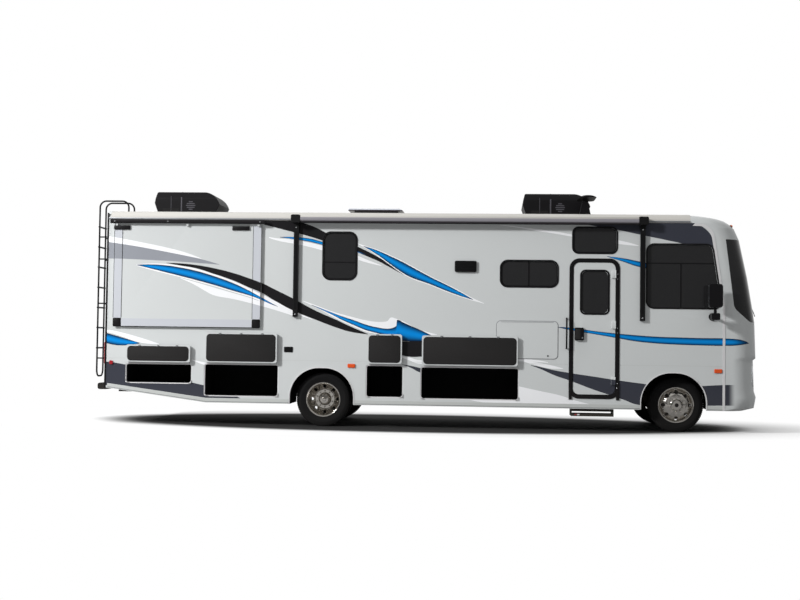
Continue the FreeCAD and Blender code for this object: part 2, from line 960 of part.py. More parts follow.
def make_walls():
    for word, side in SIDES:
        right, left = span(side, inner_half, half_width)
        wall = slab(f"{word}_side", "side", [wall_outline()], right, left)
        windows = [oblong(*limits) for limits in plain_windows()[side]]
        rear, front, low, top = room_hole(side, sized(0))
        room_loop = [(rear, low, 0), (front, low, 0), (front, top, 0), (rear, top, 0)]
        kept = [limits for name, limits in bays().items() if side == KERB or name in ROAD_BAYS]
        doors = [oblong(*limits, size.bay_round) for limits in kept]
        pierce(wall, f"{word}_windows", "side", windows, size.wall_thick)
        pierce(wall, f"{word}_cockpit", "side", [cockpit_corners(sized(0)), room_loop], size.wall_thick)
        pierce(wall, f"{word}_bays", "side", doors, size.wall_thick)
        if side == KERB:
            pierce(wall, f"{word}_doorway", "side", [doorway(sized(0))], size.wall_thick)
        keep(f"{word}_wall", wall)


def make_window_frames():
    frames = []
    panes = []
    for word, side in SIDES:
        right, left = span(side, half_width, half_width + size.frame_proud)
        glass_out = half_width - size.pane_inset
        glass_right, glass_left = span(side, glass_out - size.pane_thick, glass_out)
        for index, limits in enumerate(plain_windows()[side]):
            loops = [oblong(*grown(limits, size.frame_lip)), oblong(*limits)]
            frames.append(slab(f"{word}_window_frame_{index}", "side", loops, right, left))
            panes.append(slab(f"{word}_pane_{index}", "side", [oblong(*limits)], glass_right, glass_left))
        loops = [cockpit_corners(size.frame_lip), cockpit_corners(sized(0))]
        frames.append(slab(f"{word}_cockpit_frame", "side", loops, right, left))
        loops = [cockpit_corners(sized(0))]
        panes.append(slab(f"{word}_cockpit_pane", "side", loops, glass_right, glass_left))
    keep("window_frames", group("all_window_frames", frames))
    keep("window_glass", group("all_window_panes", panes))


# Luggage bays


def make_bays():
    bins = []
    frames = []
    for word, side in SIDES:
        for name, (rear, front, low, top) in bays().items():
            if side == ROAD and name not in ROAD_BAYS:
                continue
            sheet_out = size.bay_sheet
            right, left = span(side, inner_half - size.bay_depth, inner_half)
            outer = block(
                f"{word}_{name}_bin_outer",
                rear - sheet_out,
                front + sheet_out,
                right,
                left,
                low - sheet_out,
                top + sheet_out,
            )
            deep = size.bay_depth - sheet_out
            right, left = span(side, inner_half - deep, inner_half + size.overrun)
            hollow = block(f"{word}_{name}_bin_hollow", rear, front, right, left, low, top)
            bins.append(cut(f"{word}_{name}_bin", outer, [hollow]))
            right, left = span(side, inner_half, half_width - size.bay_sheet)
            ring = (rear, front, low, top, size.bay_round)
            lip = -size.bay_lip
            loops = [oblong(*ring), oblong(*grown(ring, lip))]
            frames.append(slab(f"{word}_{name}_bay_frame", "side", loops, right, left))
    keep("bay_bins", group("all_bay_bins", bins))
    return frames


def hinge_place(top):
    """Reach and height of a bay door's hinge line."""
    return half_width + size.bay_hinge_out, top


def bay_door(name, limits, side, open_up):
    """A luggage door with the moving leaf of its hinge, shut or turned up against the wall."""
    rear, front, low, top = limits
    inset = size.bay_lip + size.bay_door_gap
    panel = (rear + inset, front - inset, low + inset, top - inset, size.bay_round - inset / 2)
    reach, height = hinge_place(top)
    if open_up:
        panel = (panel[0], panel[1], height * 2 - panel[3], height * 2 - panel[2], panel[4])
        near, far = reach * 2 - half_width, reach * 2 - half_width + size.bay_door_thick
    else:
        near, far = half_width - size.bay_door_thick, half_width
    right, left = span(side, near, far)
    skin = slab(f"{name}_panel", "side", [oblong(*panel)], right, left)
    inner = size.bay_hinge_radius + size.seat_gap
    leaf_end = inset + size.bay_leaf_wide
    if open_up:
        leaf_low, leaf_top = height + inner, height + leaf_end
        near, far = reach, reach * 2 - half_width
    else:
        leaf_low, leaf_top = height - leaf_end, height - inner
        near, far = half_width, reach
    right, left = span(side, near, far)
    edge = size.bay_round
    leaf = block(f"{name}_leaf", rear + edge, front - edge, right, left, leaf_low, leaf_top)
    return keep(name, fuse(f"{name}_whole", [skin, leaf]))


def make_bay_doors(frames):
    for name, limits in bays().items():
        bay_door(f"kerb_{name}_bay_door", limits, KERB, True)
    for name in ROAD_BAYS:
        bay_door(f"road_{name}_bay_door", bays()[name], ROAD, False)
    hinges = []
    for word, side in SIDES:
        for name, (rear, front, low, top) in bays().items():
            if side == ROAD and name not in ROAD_BAYS:
                continue
            reach, height = hinge_place(top)
            edge = size.bay_round
            pin = drum(
                f"{word}_{name}_hinge_pin",
                "X",
                (rear + edge, outward(side, reach), height),
                size.bay_hinge_radius,
                front - rear - edge * 2,
            )
            right, left = span(side, half_width, reach - size.bay_hinge_radius / 2)
            strap = block(
                f"{word}_{name}_hinge_strap",
                rear + edge,
                front - edge,
                right,
                left,
                height,
                height + size.bay_lip,
            )
            hinges.append(fuse(f"{word}_{name}_hinge", [pin, strap]))
    keep("bay_frames", group("all_bay_frames", frames + hinges))


# Entry


def make_entry():
    limits = (size.door_rear, size.door_front, size.door_low, size.door_top, size.door_round)
    inner = grown(limits, -size.door_frame_wide)
    frame = slab(
        "door_surround",
        "side",
        [oblong(*limits), oblong(*inner)],
        -(half_width + size.door_frame_proud),
        -inner_half,
    )
    bar_out = -(half_width + size.grab_out)
    route = [
        (size.grab_station, -half_width, size.grab_low, 0),
        (size.grab_station, bar_out, size.grab_low, size.grab_radius * 2),
        (size.grab_station, bar_out, size.grab_top, size.grab_radius * 2),
        (size.grab_station, -half_width, size.grab_top, 0),
    ]
    grab = pipe("grab_bar", route, size.grab_radius)
    keep("entry_frame", group("entry_frame_pieces", [frame, grab]))
    door_limits = grown(inner, -size.door_gap)
    glass = (
        size.door_glass_rear,
        size.door_glass_front,
        size.door_glass_low,
        size.door_glass_top,
        size.door_glass_round,
    )
    panel = slab(
        "door_panel",
        "side",
        [oblong(*door_limits), oblong(*glass)],
        -half_width,
        -half_width + size.door_thick,
    )
    lock = (size.handle_rear, size.handle_front, size.handle_low, size.handle_top, size.handle_proud)
    handle = slab("door_handle", "side", [oblong(*lock)], -(half_width + size.handle_proud), -half_width)
    hinge_station = door_limits[1]
    hinge_y = -(half_width + size.door_hinge_out)
    knuckles = []
    for index, share in enumerate(DOOR_HINGE_SHARES):
        low = size.door_low + (size.door_top - size.door_low) * share
        leaf_rear = hinge_station - size.door_frame_wide
        leaf = block(
            f"door_leaf_{index}",
            leaf_rear,
            hinge_station,
            hinge_y - size.door_hinge_radius / 2,
            -half_width,
            low,
            low + size.door_hinge_tall,
        )
        knuckle = drum(
            f"door_knuckle_{index}",
            "Z",
            (hinge_station, hinge_y, low),
            size.door_hinge_radius,
            size.door_hinge_tall,
        )
        knuckles += [leaf, knuckle]
    keep("entry_door", fuse("entry_door_whole", [panel, handle] + knuckles))
    pane_out = half_width - size.pane_inset
    keep(
        "entry_door_glass",
        slab("door_pane", "side", [oblong(*glass)], -pane_out, -pane_out + size.pane_thick),
    )


def make_stepwell():
    """Two treads inside the entry door, as one folded sheet with its side plates."""
    rear = size.door_rear + size.door_frame_wide
    front = size.door_front - size.door_frame_wide
    low = size.door_low + size.door_frame_wide - size.bay_sheet
    reach_in = inner_half - size.well_reach_in
    outer = block(
        "stepwell_outer",
        rear - size.bay_sheet,
        front + size.bay_sheet,
        -inner_half,
        -reach_in,
        low,
        size.floor_height - size.floor_thick,
    )
    tread_one = (inner_half * 2 + reach_in) / 3
    first_top = low + size.bay_sheet
    space_one = block(
        "stepwell_space_a",
        rear,
        front,
        -(inner_half + size.overrun),
        -tread_one,
        first_top,
        size.floor_height + size.overrun,
    )
    inner_reach = reach_in + size.bay_sheet
    space_two = block(
        "stepwell_space_b",
        rear,
        front,
        -(inner_half + size.overrun),
        -inner_reach,
        first_top + size.tread_rise,
        size.floor_height + size.overrun,
    )
    under = block(
        "stepwell_under",
        rear,
        front,
        -(tread_one - size.bay_sheet),
        -reach_in + size.overrun,
        low - size.overrun,
        first_top + size.tread_rise - size.bay_sheet,
    )
    return keep("stepwell", cut("stepwell_sheet", outer, [space_one, space_two, under]))


def make_step():
    """The folding outside step, run in under the sill."""
    near = -(inner_half)
    far = near + size.step_deep
    side_plates = []
    for index, rear in enumerate((size.step_rear, size.step_front - size.bay_sheet * 2)):
        side_plates.append(block(
            f"step_plate_{index}", rear, rear + size.bay_sheet * 2, near, far, size.step_low, size.step_top
        ))
    upper = block(
        "step_upper",
        size.step_rear,
        size.step_front,
        near,
        far,
        size.step_top - size.step_tread_thick,
        size.step_top,
    )
    lower = block(
        "step_lower",
        size.step_rear,
        size.step_front,
        near,
        far,
        size.step_low,
        size.step_low + size.step_tread_thick,
    )
    reach_in = inner_half - size.well_reach_in
    hanger = block(
        "step_hanger",
        size.step_rear + size.step_deep / 2,
        size.step_front - size.step_deep / 2,
        near + size.step_tread_thick,
        -reach_in,
        size.step_top,
        size.door_low + size.door_frame_wide - size.bay_sheet,
    )
    return keep("entry_step", fuse("entry_step_whole", side_plates + [upper, lower, hanger]))


# Floor, frame and wells


def make_floor():
    low = size.floor_height - size.floor_thick
    rear = size.rear_cap_thick
    deck = block("deck_board", rear, size.seam_low_station, -inner_half, inner_half, low, size.floor_height)
    reach_in = inner_half - size.well_reach_in
    hole = block(
        "deck_step_hole",
        size.door_rear + size.door_frame_wide,
        size.door_front - size.door_frame_wide,
        -(inner_half + size.overrun),
        -reach_in,
        low - size.overrun,
        size.floor_height + size.overrun,
    )
    return keep("floor_deck", cut("deck", deck, [hole]))


def make_frame():
    """Two channel rails with cross-members up to the deck."""
    rails = []
    for word, side in SIDES:
        right, left = span(side, size.frame_half_width - size.frame_flange, size.frame_half_width)
        rail = block(
            f"{word}_rail_outer",
            size.frame_tail_station,
            size.frame_nose_station,
            right,
            left,
            size.frame_low_height,
            size.frame_top_height,
        )
        right, left = span(
            side,
            size.frame_half_width - size.frame_flange - size.overrun,
            size.frame_half_width - size.frame_web,
        )
        space = block(
            f"{word}_rail_space",
            size.frame_tail_station - size.overrun,
            size.frame_nose_station + size.overrun,
            right,
            left,
            size.frame_low_height + size.frame_web,
            size.frame_top_height - size.frame_web,
        )
        rails.append(cut(f"{word}_rail", rail, [space]))
    beams = []
    run = size.frame_nose_station - size.frame_tail_station
    for index, share in enumerate(CROSS_BEAM_SHARES):
        rear = size.frame_tail_station + run * share
        beams.append(block(
            f"cross_beam_{index}",
            rear,
            rear + size.cross_beam_wide,
            -size.frame_half_width,
            size.frame_half_width,
            size.frame_top_height,
            size.floor_height - size.floor_thick,
        ))
    return keep("frame_rails", fuse("frame", rails + beams))


def make_wells():
    """Open-bottomed liners over the wheels."""
    liners = []
    rows = (
        ("rear", size.rear_axle_station, size.arch_rear_behind, size.arch_rear_ahead),
        ("front", front_axle_station, size.arch_front_behind, size.arch_front_ahead),
    )
    for name, station, behind, ahead in rows:
        rear = station - behind - size.well_wall
        front = station + ahead + size.well_margin
        inner = size.well_inner_reach
        outer = block(
            f"{name}_well_outer", rear, front, -inner_half, -inner, size.sill_height, size.well_top_height
        )
        sheet_in = size.well_wall
        space = block(
            f"{name}_well_space",
            rear + sheet_in,
            front - sheet_in,
            -(inner_half + size.overrun),
            -(inner + sheet_in),
            size.sill_height - size.overrun,
            size.well_top_height - sheet_in,
        )
        under = block(
            f"{name}_well_under",
            rear + sheet_in,
            front - sheet_in,
            -(inner + sheet_in * 2),
            -(inner - sheet_in),
            size.sill_height - size.overrun,
            size.frame_low_height,
        )
        liner = cut(f"{name}_well", outer, [space, under])
        liners += [liner, mirrored(f"{name}_well_other", liner)]
    return keep("wheel_wells", group("all_wells", liners))


# Wheels


def tyre(name, station, reach):
    """A tyre of six plain bands: bore, two side walls, two shoulders and a flat tread."""
    half = size.tyre_width / 2
    seat = size.rim_seat_radius
    foot = size.rim_width / 2 - size.rim_wall
    shoulder = size.tyre_radius - size.tyre_shoulder_drop
    tread_half = half - size.tyre_shoulder_wide
    profile = [
        (-foot, seat, 0),
        (-half, shoulder, 0),
        (-tread_half, size.tyre_radius, 0),
        (tread_half, size.tyre_radius, 0),
        (half, shoulder, 0),
        (foot, seat, 0),
    ]
    return turned(name, profile, station, -reach, size.tyre_radius)


def rim(name, station, reach, out):
    """A steel wheel whose disc stands outside (+1) or inside (-1) of its barrel."""
    half = size.rim_width / 2
    wall = size.rim_wall
    seat = size.rim_seat_radius
    offset = size.rim_offset
    bowl = half / 2

    def y(amount):
        return sized(amount) * (-out)

    profile = [
        (y(-half), size.rim_flange_radius, 0),
        (y(-half + wall), seat, 0),
        (y(half - wall), seat, 0),
        (y(half), size.rim_flange_radius, 0),
        (y(half), size.rim_flange_radius - wall, 0),
        (y(half - wall), seat - wall, 0),
        (y(bowl + wall), seat - wall, 0),
        (y(offset), size.rim_disc_radius, 0),
        (y(offset), size.rim_bore_radius, 0),
        (y(offset - wall), size.rim_bore_radius, 0),
        (y(offset - wall), size.rim_disc_radius - wall, 0),
        (y(bowl - wall), seat - wall, 0),
        (y(-half + wall), seat - wall, 0),
        (y(-half), size.rim_flange_radius - wall, 0),
    ]
    dish = turned(f"{name}_dish", profile, station, -reach, size.tyre_radius)
    holes = []
    for index in range(HAND_HOLES):
        angle = 2 * math.pi * index / HAND_HOLES
        x = sized(station) + size.hand_hole_ring_radius * math.cos(angle)
        z = size.tyre_radius + size.hand_hole_ring_radius * math.sin(angle)
        start = -(sized(reach) + offset)
        holes.append(drum(
            f"{name}_hand_hole_{index}", "Y", (x, start, z), size.hand_hole_radius, offset * 2
        ))
    return cut(name, dish, holes)


def hub(name, station, face, inward):
    """The hub behind a disc with its nose through the bore, and a blind bore for the spindle."""
    barrel = drum(f"{name}_barrel", "Y", (station, -face, size.tyre_radius), size.hub_radius, inward)
    nose = drum(
        f"{name}_nose",
        "Y",
        (station, -(face + size.hub_nose_length), size.tyre_radius),
        size.hub_nose_radius,
        size.hub_nose_length,
    )
    bore_radius = size.spindle_radius + size.spindle_gap
    bore = drum(
        f"{name}_bore",
        "Y",
        (station, -(face - size.hub_nose_length), size.tyre_radius),
        bore_radius,
        inward,
    )
    return cut(name, fuse(f"{name}_solid", [barrel, nose]), [bore])


def make_wheels():
    station = front_axle_station
    reach = size.front_wheel_reach
    face = reach + size.rim_offset - size.rim_wall
    right_tyre = tyre("front_tyre_form", station, reach)
    wheel = fuse(
        "front_wheel_form",
        [
            rim("front_rim_form", station, reach, 1),
            hub("front_hub_form", station, face, size.hub_length * 2),
        ],
    )
    keep("front_tyre_right", right_tyre)
    keep("front_rim_right", wheel)
    keep("front_tyre_left", mirrored("front_tyre_other", right_tyre))
    keep("front_rim_left", mirrored("front_rim_other", wheel))
    station = size.rear_axle_station
    outer = size.rear_wheel_reach
    inner = outer - size.dual_spacing
    pair = group(
        "rear_tyre_pair", [tyre("outer_tyre_form", station, outer), tyre("inner_tyre_form", station, inner)]
    )
    face = outer - size.rim_offset + size.rim_wall
    rims = fuse(
        "rear_rim_pair",
        [
            rim("outer_rim_form", station, outer, -1),
            rim("inner_rim_form", station, inner, 1),
            hub("rear_hub_form", station, face, size.dual_spacing / 2),
        ],
    )
    keep("rear_tyres_right", pair)
    keep("rear_rims_right", rims)
    keep("rear_tyres_left", mirrored("rear_tyres_other", pair))
    keep("rear_rims_left", mirrored("rear_rims_other", rims))


def leaf_spring(name, station, reach, low):
    half = size.spring_wide / 2
    long_half = size.spring_half_length
    rise = size.frame_low_height
    corners = [
        (station - long_half, rise - size.spring_thick / 2, 0),
        (station, low, size.spring_half_length * 2),
        (station + long_half, rise - size.spring_thick / 2, 0),
        (station + long_half, rise, 0),
        (station, low + size.spring_thick, size.spring_half_length * 2),
        (station - long_half, rise, 0),
    ]
    return slab(name, "side", [corners], -(sized(reach) + half), -(sized(reach) - half))


def make_axles():
    z = size.tyre_radius
    spring_reach = size.frame_half_width - size.spring_wide / 2
    beam_half = size.kingpin_reach - size.kingpin_radius - size.seat_gap
    beam = block(
        "front_beam",
        front_axle_station - size.front_beam_thick / 2,
        front_axle_station + size.front_beam_thick / 2,
        -beam_half,
        beam_half,
        z - size.front_beam_thick,
        z,
    )
    spring = leaf_spring("front_spring", front_axle_station, spring_reach, z)
    seat = block(
        "front_spring_seat",
        front_axle_station - size.front_beam_thick / 2,
        front_axle_station + size.front_beam_thick / 2,
        -size.frame_half_width,
        -(size.frame_half_width - size.spring_wide),
        z,
        z + size.spring_thick,
    )
    carried = [spring, seat, mirrored("front_spring_other", spring), mirrored("front_seat_other", seat)]
    keep("front_axle", fuse("front_axle_whole", [beam] + carried))
    for word, side in (("right", KERB), ("left", ROAD)):
        pin_low = z - size.kingpin_length / 2
        reach = outward(side, size.kingpin_reach)
        pin = drum(
            f"{word}_kingpin",
            "Z",
            (front_axle_station, reach, pin_low),
            size.kingpin_radius,
            size.kingpin_length,
        )
        end = size.front_wheel_reach + size.rim_offset - size.rim_wall
        end -= size.hub_nose_length + size.spindle_gap
        right, left = span(side, size.kingpin_reach, end)
        spindle = drum(
            f"{word}_spindle", "Y", (front_axle_station, right, z), size.spindle_radius, left - right
        )
        keep(f"knuckle_{word}", fuse(f"{word}_knuckle_whole", [pin, spindle]))
    face = size.rear_wheel_reach - size.rim_offset + size.rim_wall
    tube_half = face - size.dual_spacing / 2 - size.spindle_gap * 2
    tube = drum(
        "rear_axle_tube", "Y", (size.rear_axle_station, -tube_half, z), size.rear_axle_radius, tube_half * 2
    )
    end_half = face - size.hub_nose_length - size.spindle_gap
    ends = drum(
        "rear_axle_ends", "Y", (size.rear_axle_station, -end_half, z), size.spindle_radius, end_half * 2
    )
    bulb = doc.addObject("Part::Sphere", "differential")
    bind(bulb, "Radius", size.differential_radius)
    place(bulb, size.rear_axle_station - middle, 0, z)
    nose_long = size.differential_radius + size.shaft_radius
    pinion = drum("pinion_nose", "X", (size.rear_axle_station, 0, z), size.rear_axle_radius, nose_long)
    spring = leaf_spring("rear_spring", size.rear_axle_station, spring_reach, z + size.rear_axle_radius / 2)
    keep(
        "rear_axle",
        fuse("rear_axle_whole", [tube, ends, bulb, pinion, spring, mirrored("rear_spring_other", spring)]),
    )


def make_drive_line():
    half = size.engine_wide / 2
    rail_gap = size.frame_half_width - size.frame_flange - size.seat_gap
    lower = block(
        "engine_low",
        size.engine_rear,
        size.engine_front,
        -rail_gap,
        rail_gap,
        size.engine_low,
        size.frame_top_height,
    )
    upper = block(
        "engine_high",
        size.engine_rear + size.overrun,
        size.engine_front,
        -half,
        half,
        size.engine_low,
        size.engine_top,
    )
    keep("engine_block", fuse("engine", [lower, upper]))
    start = size.rear_axle_station + size.differential_radius + size.shaft_radius
    shaft_length = size.engine_rear - start
    shaft = drum("prop_shaft", "X", (start, 0, size.tyre_radius), size.shaft_radius, shaft_length)
    tank_half = size.frame_half_width - size.frame_flange - size.seat_gap
    tank = block(
        "tank_form",
        size.tank_rear,
        size.tank_front,
        -tank_half,
        tank_half,
        size.tank_low,
        size.frame_top_height,
    )
    return keep("drive_line", group("drive_line_pieces", [shaft, tank]))


# Slide-out rooms


def room(word, side, limits, depth, windows):
    """A box room with an outer lip that covers its hole in the wall, open to the cabin."""
    rear, front, low, top = limits
    face = half_width + size.room_lip_thick
    right, left = span(side, half_width + size.seat_gap, face)
    loops = [oblong(rear, front, low, top, size.room_round)]
    loops += [oblong(*window) for window in windows]
    lip = slab(f"{word}_room_face", "side", loops, right, left)
    hole = room_hole(side, -size.room_gap)
    right, left = span(side, half_width - depth, half_width + size.seat_gap)
    shell = block(f"{word}_room_shell", hole[0], hole[1], right, left, hole[2], hole[3])
    wall = size.room_wall
    right, left = span(side, half_width - depth - size.overrun, half_width + size.room_lip_thick / 2)
    hollow = block(
        f"{word}_room_hollow", hole[0] + wall, hole[1] - wall, right, left, hole[2] + wall, hole[3] - wall
    )
    box = cut(f"{word}_room_box", shell, [hollow])
    outer = half_width + size.room_lip_thick
    roll_height = top + size.topper_radius / 2
    roll_rear = rear - size.topper_over
    roll_long = front - rear + size.topper_over * 2
    roll_start = (roll_rear, outward(side, outer + size.topper_radius), roll_height)
    pieces = [lip, box, drum(f"{word}_topper_roll", "X", roll_start, size.topper_radius, roll_long)]
    right, left = span(side, half_width + size.room_lip_thick / 2, outer + size.topper_radius)
    for index, share in enumerate(TOPPER_ARM_SHARES):
        station = rear + (front - rear) * share
        half = size.topper_radius / 2
        pieces.append(block(
            f"{word}_topper_arm_{index}",
            station - half,
            station + half,
            right,
            left,
            top - size.topper_over,
            roll_height,
        ))
    return keep(f"{word}_room", fuse(f"{word}_room_whole", pieces))


def make_rooms():
    kerb_limits = (size.kerb_room_rear, size.kerb_room_front, size.kerb_room_low, size.kerb_room_top)
    room("kerb", KERB, kerb_limits, size.kerb_room_depth, [])
    wide_long = size.wide_window_front - size.wide_window_rear
    low, top, radius = size.wide_window_low, size.wide_window_top, size.wide_window_round
    first = size.road_room_rear + size.room_lip * 3
    second = size.road_room_front - size.room_lip * 3 - wide_long
    windows = [(first, first + wide_long, low, top, radius), (second, second + wide_long, low, top, radius)]
    road_limits = (size.road_room_rear, size.road_room_front, size.road_room_low, size.road_room_top)
    room("road", ROAD, road_limits, size.road_room_depth, windows)
    right = half_width + size.room_lip_thick - size.pane_inset - size.pane_thick
    left = right + size.pane_thick
    panes = []
    for index, window in enumerate(windows):
        panes.append(slab(f"room_pane_{index}", "side", [oblong(*window)], right, left))
    keep("road_room_glass", group("room_panes", panes))


# Awning, roof pieces, ladder


def make_awning():
    centre = -(half_width + size.awning_tube_out)
    z = size.awning_tube_height
    rear = size.awning_arm_rear
    front = size.awning_arm_front
    tube = drum("awning_roll", "X", (rear, centre, z), size.awning_tube_radius, front - rear)
    pieces = [tube]
    for index, station in enumerate((rear, front)):
        half = size.awning_arm_wide / 2
        arm = block(
            f"awning_arm_{index}",
            station - half,
            station + half,
            -(half_width + size.awning_arm_thick),
            -half_width,
            size.awning_foot_height,
            z,
        )
        cap_half = size.awning_cap_long / 2
        cap = oblong(
            station - cap_half,
            station + cap_half,
            z - size.awning_tube_radius,
            z + size.awning_tube_radius,
            size.vent_round,
        )
        head = slab(f"awning_head_{index}", "side", [cap], centre - size.awning_tube_radius, -half_width)
        pieces += [arm, head]
    return keep("awning", fuse("awning_whole", pieces))


def cooler(name, station):
    """A roof air conditioner: a shroud with a round nose, cut back below at both ends."""
    rear = station - size.cooler_long / 2
    low = size.roof_crown_height
    rise = size.cooler_top_height - low
    small = size.cooler_round
    rounds = (0, 0, 0, size.cooler_nose_round, small, small)
    corners = []
    for (along, up), radius in zip(COOLER_SHARES, rounds):
        corners.append((rear + size.cooler_long * along, low + rise * up, radius))
    wide = size.cooler_wide / 2
    side_form = slab(f"{name}_side", "side", [corners], -wide, wide)
    shoulder = low + rise * COOLER_SHOULDER_SHARE
    top_wide = wide - size.cooler_side_inset
    cross = [
        (-wide, low, 0),
        (wide, low, 0),
        (wide, shoulder, small),
        (top_wide, size.cooler_top_height, small),
        (-top_wide, size.cooler_top_height, small),
        (-wide, shoulder, small),
    ]
    end_form = slab(f"{name}_end", "end", [cross], rear, rear + size.cooler_long)
    return common(name, side_form, end_form)


def make_roof_vent():
    rear = size.vent_panel_station - size.vent_panel_long / 2
    front = rear + size.vent_panel_long
    wide = size.vent_panel_wide / 2
    low = size.vent_panel_low
    top = low + size.vent_panel_thick
    corners = [(rear, low, 0), (front, low, 0), (front - size.vent_panel_slope, top, 0), (rear, top, 0)]
    panel = slab("vent_lid", "side", [corners], -wide, wide)
    inset = size.vent_curb_inset
    curb_wide = wide - inset
    crown = size.roof_crown_height
    curb = block("vent_curb", rear + inset, front - inset, -curb_wide, curb_wide, crown, low)
    return keep("roof_vent", fuse("vent_whole", [panel, curb]))


def make_antenna():
    """A wing across the coach, thin at its edges, on a foot that narrows upwards."""
    rear, front = size.antenna_rear, size.antenna_front
    low = size.antenna_low_height
    edge = size.antenna_edge_height
    section = [
        (rear, low, 0),
        (front, low, 0),
        (front, edge, 0),
        ((rear + front) / 2, size.antenna_crest_height, size.antenna_crest_round),
        (rear, edge, 0),
    ]
    right = -(size.antenna_side + size.antenna_span / 2)
    left = right + size.antenna_span
    form = slab("antenna_section", "side", [section], right, left)
    plan = oblong(rear, front, right, left, size.antenna_end_round)
    outline = slab("antenna_plan", "plan", [plan], low, size.antenna_crest_height)
    wing = common("antenna_wing", form, outline)
    corners = [
        (size.antenna_foot_rear, size.roof_edge_height, 0),
        (size.antenna_foot_front, size.roof_edge_height, 0),
        (size.antenna_neck_front, low, 0),
        (size.antenna_neck_rear, low, 0),
    ]
    foot_half = size.antenna_foot_wide / 2
    side = -size.antenna_side
    foot = slab("antenna_foot", "side", [corners], side - foot_half, side + foot_half)
    sky = size.roof_crown_height + size.overrun * 2
    edge_index = len(EDGE_SHARES) + 1
    region = roof_line(sized(0))[edge_index:edge_index + 2] + [(sized(0), sky, 0), (-half_width, sky, 0)]
    above = slab("above_roof", "end", [region], rear - size.overrun, front + size.overrun)
    return keep("tv_antenna", fuse("antenna_whole", [common("antenna_seated_foot", foot, above), wing]))


def make_roof_pieces():
    stations = (("rear", size.rear_cooler_station), ("front", size.front_cooler_station))
    keep("air_conditioners", group("coolers", [cooler(f"{word}_cooler", spot) for word, spot in stations]))
    make_roof_vent()
    make_antenna()


def make_ladder():
    """One tube down both sides, joined below in a loop, with rungs and stays to the tail."""
    tube_radius = size.ladder_tube_radius
    behind = -(size.ladder_reach - tube_radius)
    bend = size.ladder_bend_round
    top = size.ladder_top_height - tube_radius
    low = size.ladder_low_height + tube_radius
    hook = size.ladder_hook_station
    reaches = (size.ladder_near_reach, size.ladder_near_reach - size.ladder_wide)
    fall = size.roof_crown_height - size.roof_edge_height
    slope_wide = half_width - size.roof_round - roof_flat_half
    sides = []
    for reach in reaches:
        foot = size.roof_crown_height - fall * (sized(reach) - tube_radius - roof_flat_half) / slope_wide
        sides.append([
            (hook, -reach, foot + size.seat_gap, 0),
            (hook, -reach, top, bend),
            (behind, -reach, top, bend),
            (behind, -reach, low, bend),
        ])
    pieces = [pipe("ladder_rails", sides[0] + list(reversed(sides[1])), tube_radius)]
    start = -(size.ladder_near_reach + tube_radius * 2)
    rung_long = size.ladder_wide + tube_radius * 4
    for index in range(LADDER_RUNGS):
        height = size.ladder_first_rung + size.ladder_rung_pitch * index
        pieces.append(drum(f"ladder_rung_{index}", "Y", (behind, start, height), tube_radius, rung_long))
    for index, share in enumerate(LADDER_STAY_SHARES):
        height = size.ladder_low_height + (size.ladder_top_height - size.ladder_low_height) * share
        for number, reach in enumerate(reaches):
            spot = (behind, -reach, height)
            pieces.append(drum(
                f"ladder_stay_{index}_{number}", "X", spot, tube_radius * STAY_SHARE, -behind
            ))
    return keep("ladder", fuse("ladder_whole", pieces))


def make_tail():
    half = size.tail_bumper_wide / 2
    low = size.tail_bumper_low
    top = low + size.tail_bumper_tall
    reach = -size.tail_bumper_reach
    corners = [
        (reach, low, size.tail_bumper_round),
        (-size.rear_cap_thick / 2, low, 0),
        (-size.rear_cap_thick / 2, top, 0),
        (reach, top, size.tail_bumper_round),
    ]
    bar = slab("bumper_bar", "side", [corners], -half, half)
    brackets = []
    for word, side in SIDES:
        right, left = span(side, size.frame_half_width - size.frame_flange, size.frame_half_width)
        foot_front = size.frame_tail_station + size.cross_beam_wide
        under_cap = size.tail_low_height - size.frame_web
        bracket = [
            (-size.rear_cap_thick / 2, low, 0),
            (foot_front, low, 0),
            (foot_front, size.frame_low_height, 0),
            (size.frame_tail_station, size.frame_low_height, 0),
            (size.frame_tail_station, under_cap, 0),
            (-size.rear_cap_thick / 2, under_cap, 0),
        ]
        brackets.append(slab(f"{word}_bumper_bracket", "side", [bracket], right, left))
    box_half = size.receiver_half
    bore_half = size.receiver_bore_half
    z = low - box_half
    tube = block(
        "receiver_tube", reach, reach + size.receiver_long, -box_half, box_half, z - box_half, z + box_half
    )
    bore = block(
        "receiver_bore",
        reach - size.overrun,
        reach + size.receiver_long - box_half,
        -bore_half,
        bore_half,
        z - bore_half,
        z + bore_half,
    )
    pin_spot = (reach + size.hitch_pin_setback, -size.overrun, z)
    pin_hole = drum("hitch_pin_hole", "Y", pin_spot, size.hitch_pin_radius, size.overrun * 2)
    receiver = cut("receiver", tube, [bore, pin_hole])
    keep("rear_bumper", group("rear_bumper_pieces", [bar, receiver] + brackets))
    lamps = []
    reach_out = half_width - size.tail_lamp_inset
    corners = oblong(
        -reach_out,
        -(reach_out - size.tail_lamp_wide),
        size.tail_lamp_low,
        size.tail_lamp_low + size.tail_lamp_tall,
        size.outlet_round,
    )
    lamp = slab("tail_lamp", "end", [corners], -size.tail_lamp_proud, sized(0))
    lamps.append(lamp)
    keep("tail_lamps", both_sides("tail_lamp_pair", lamp))


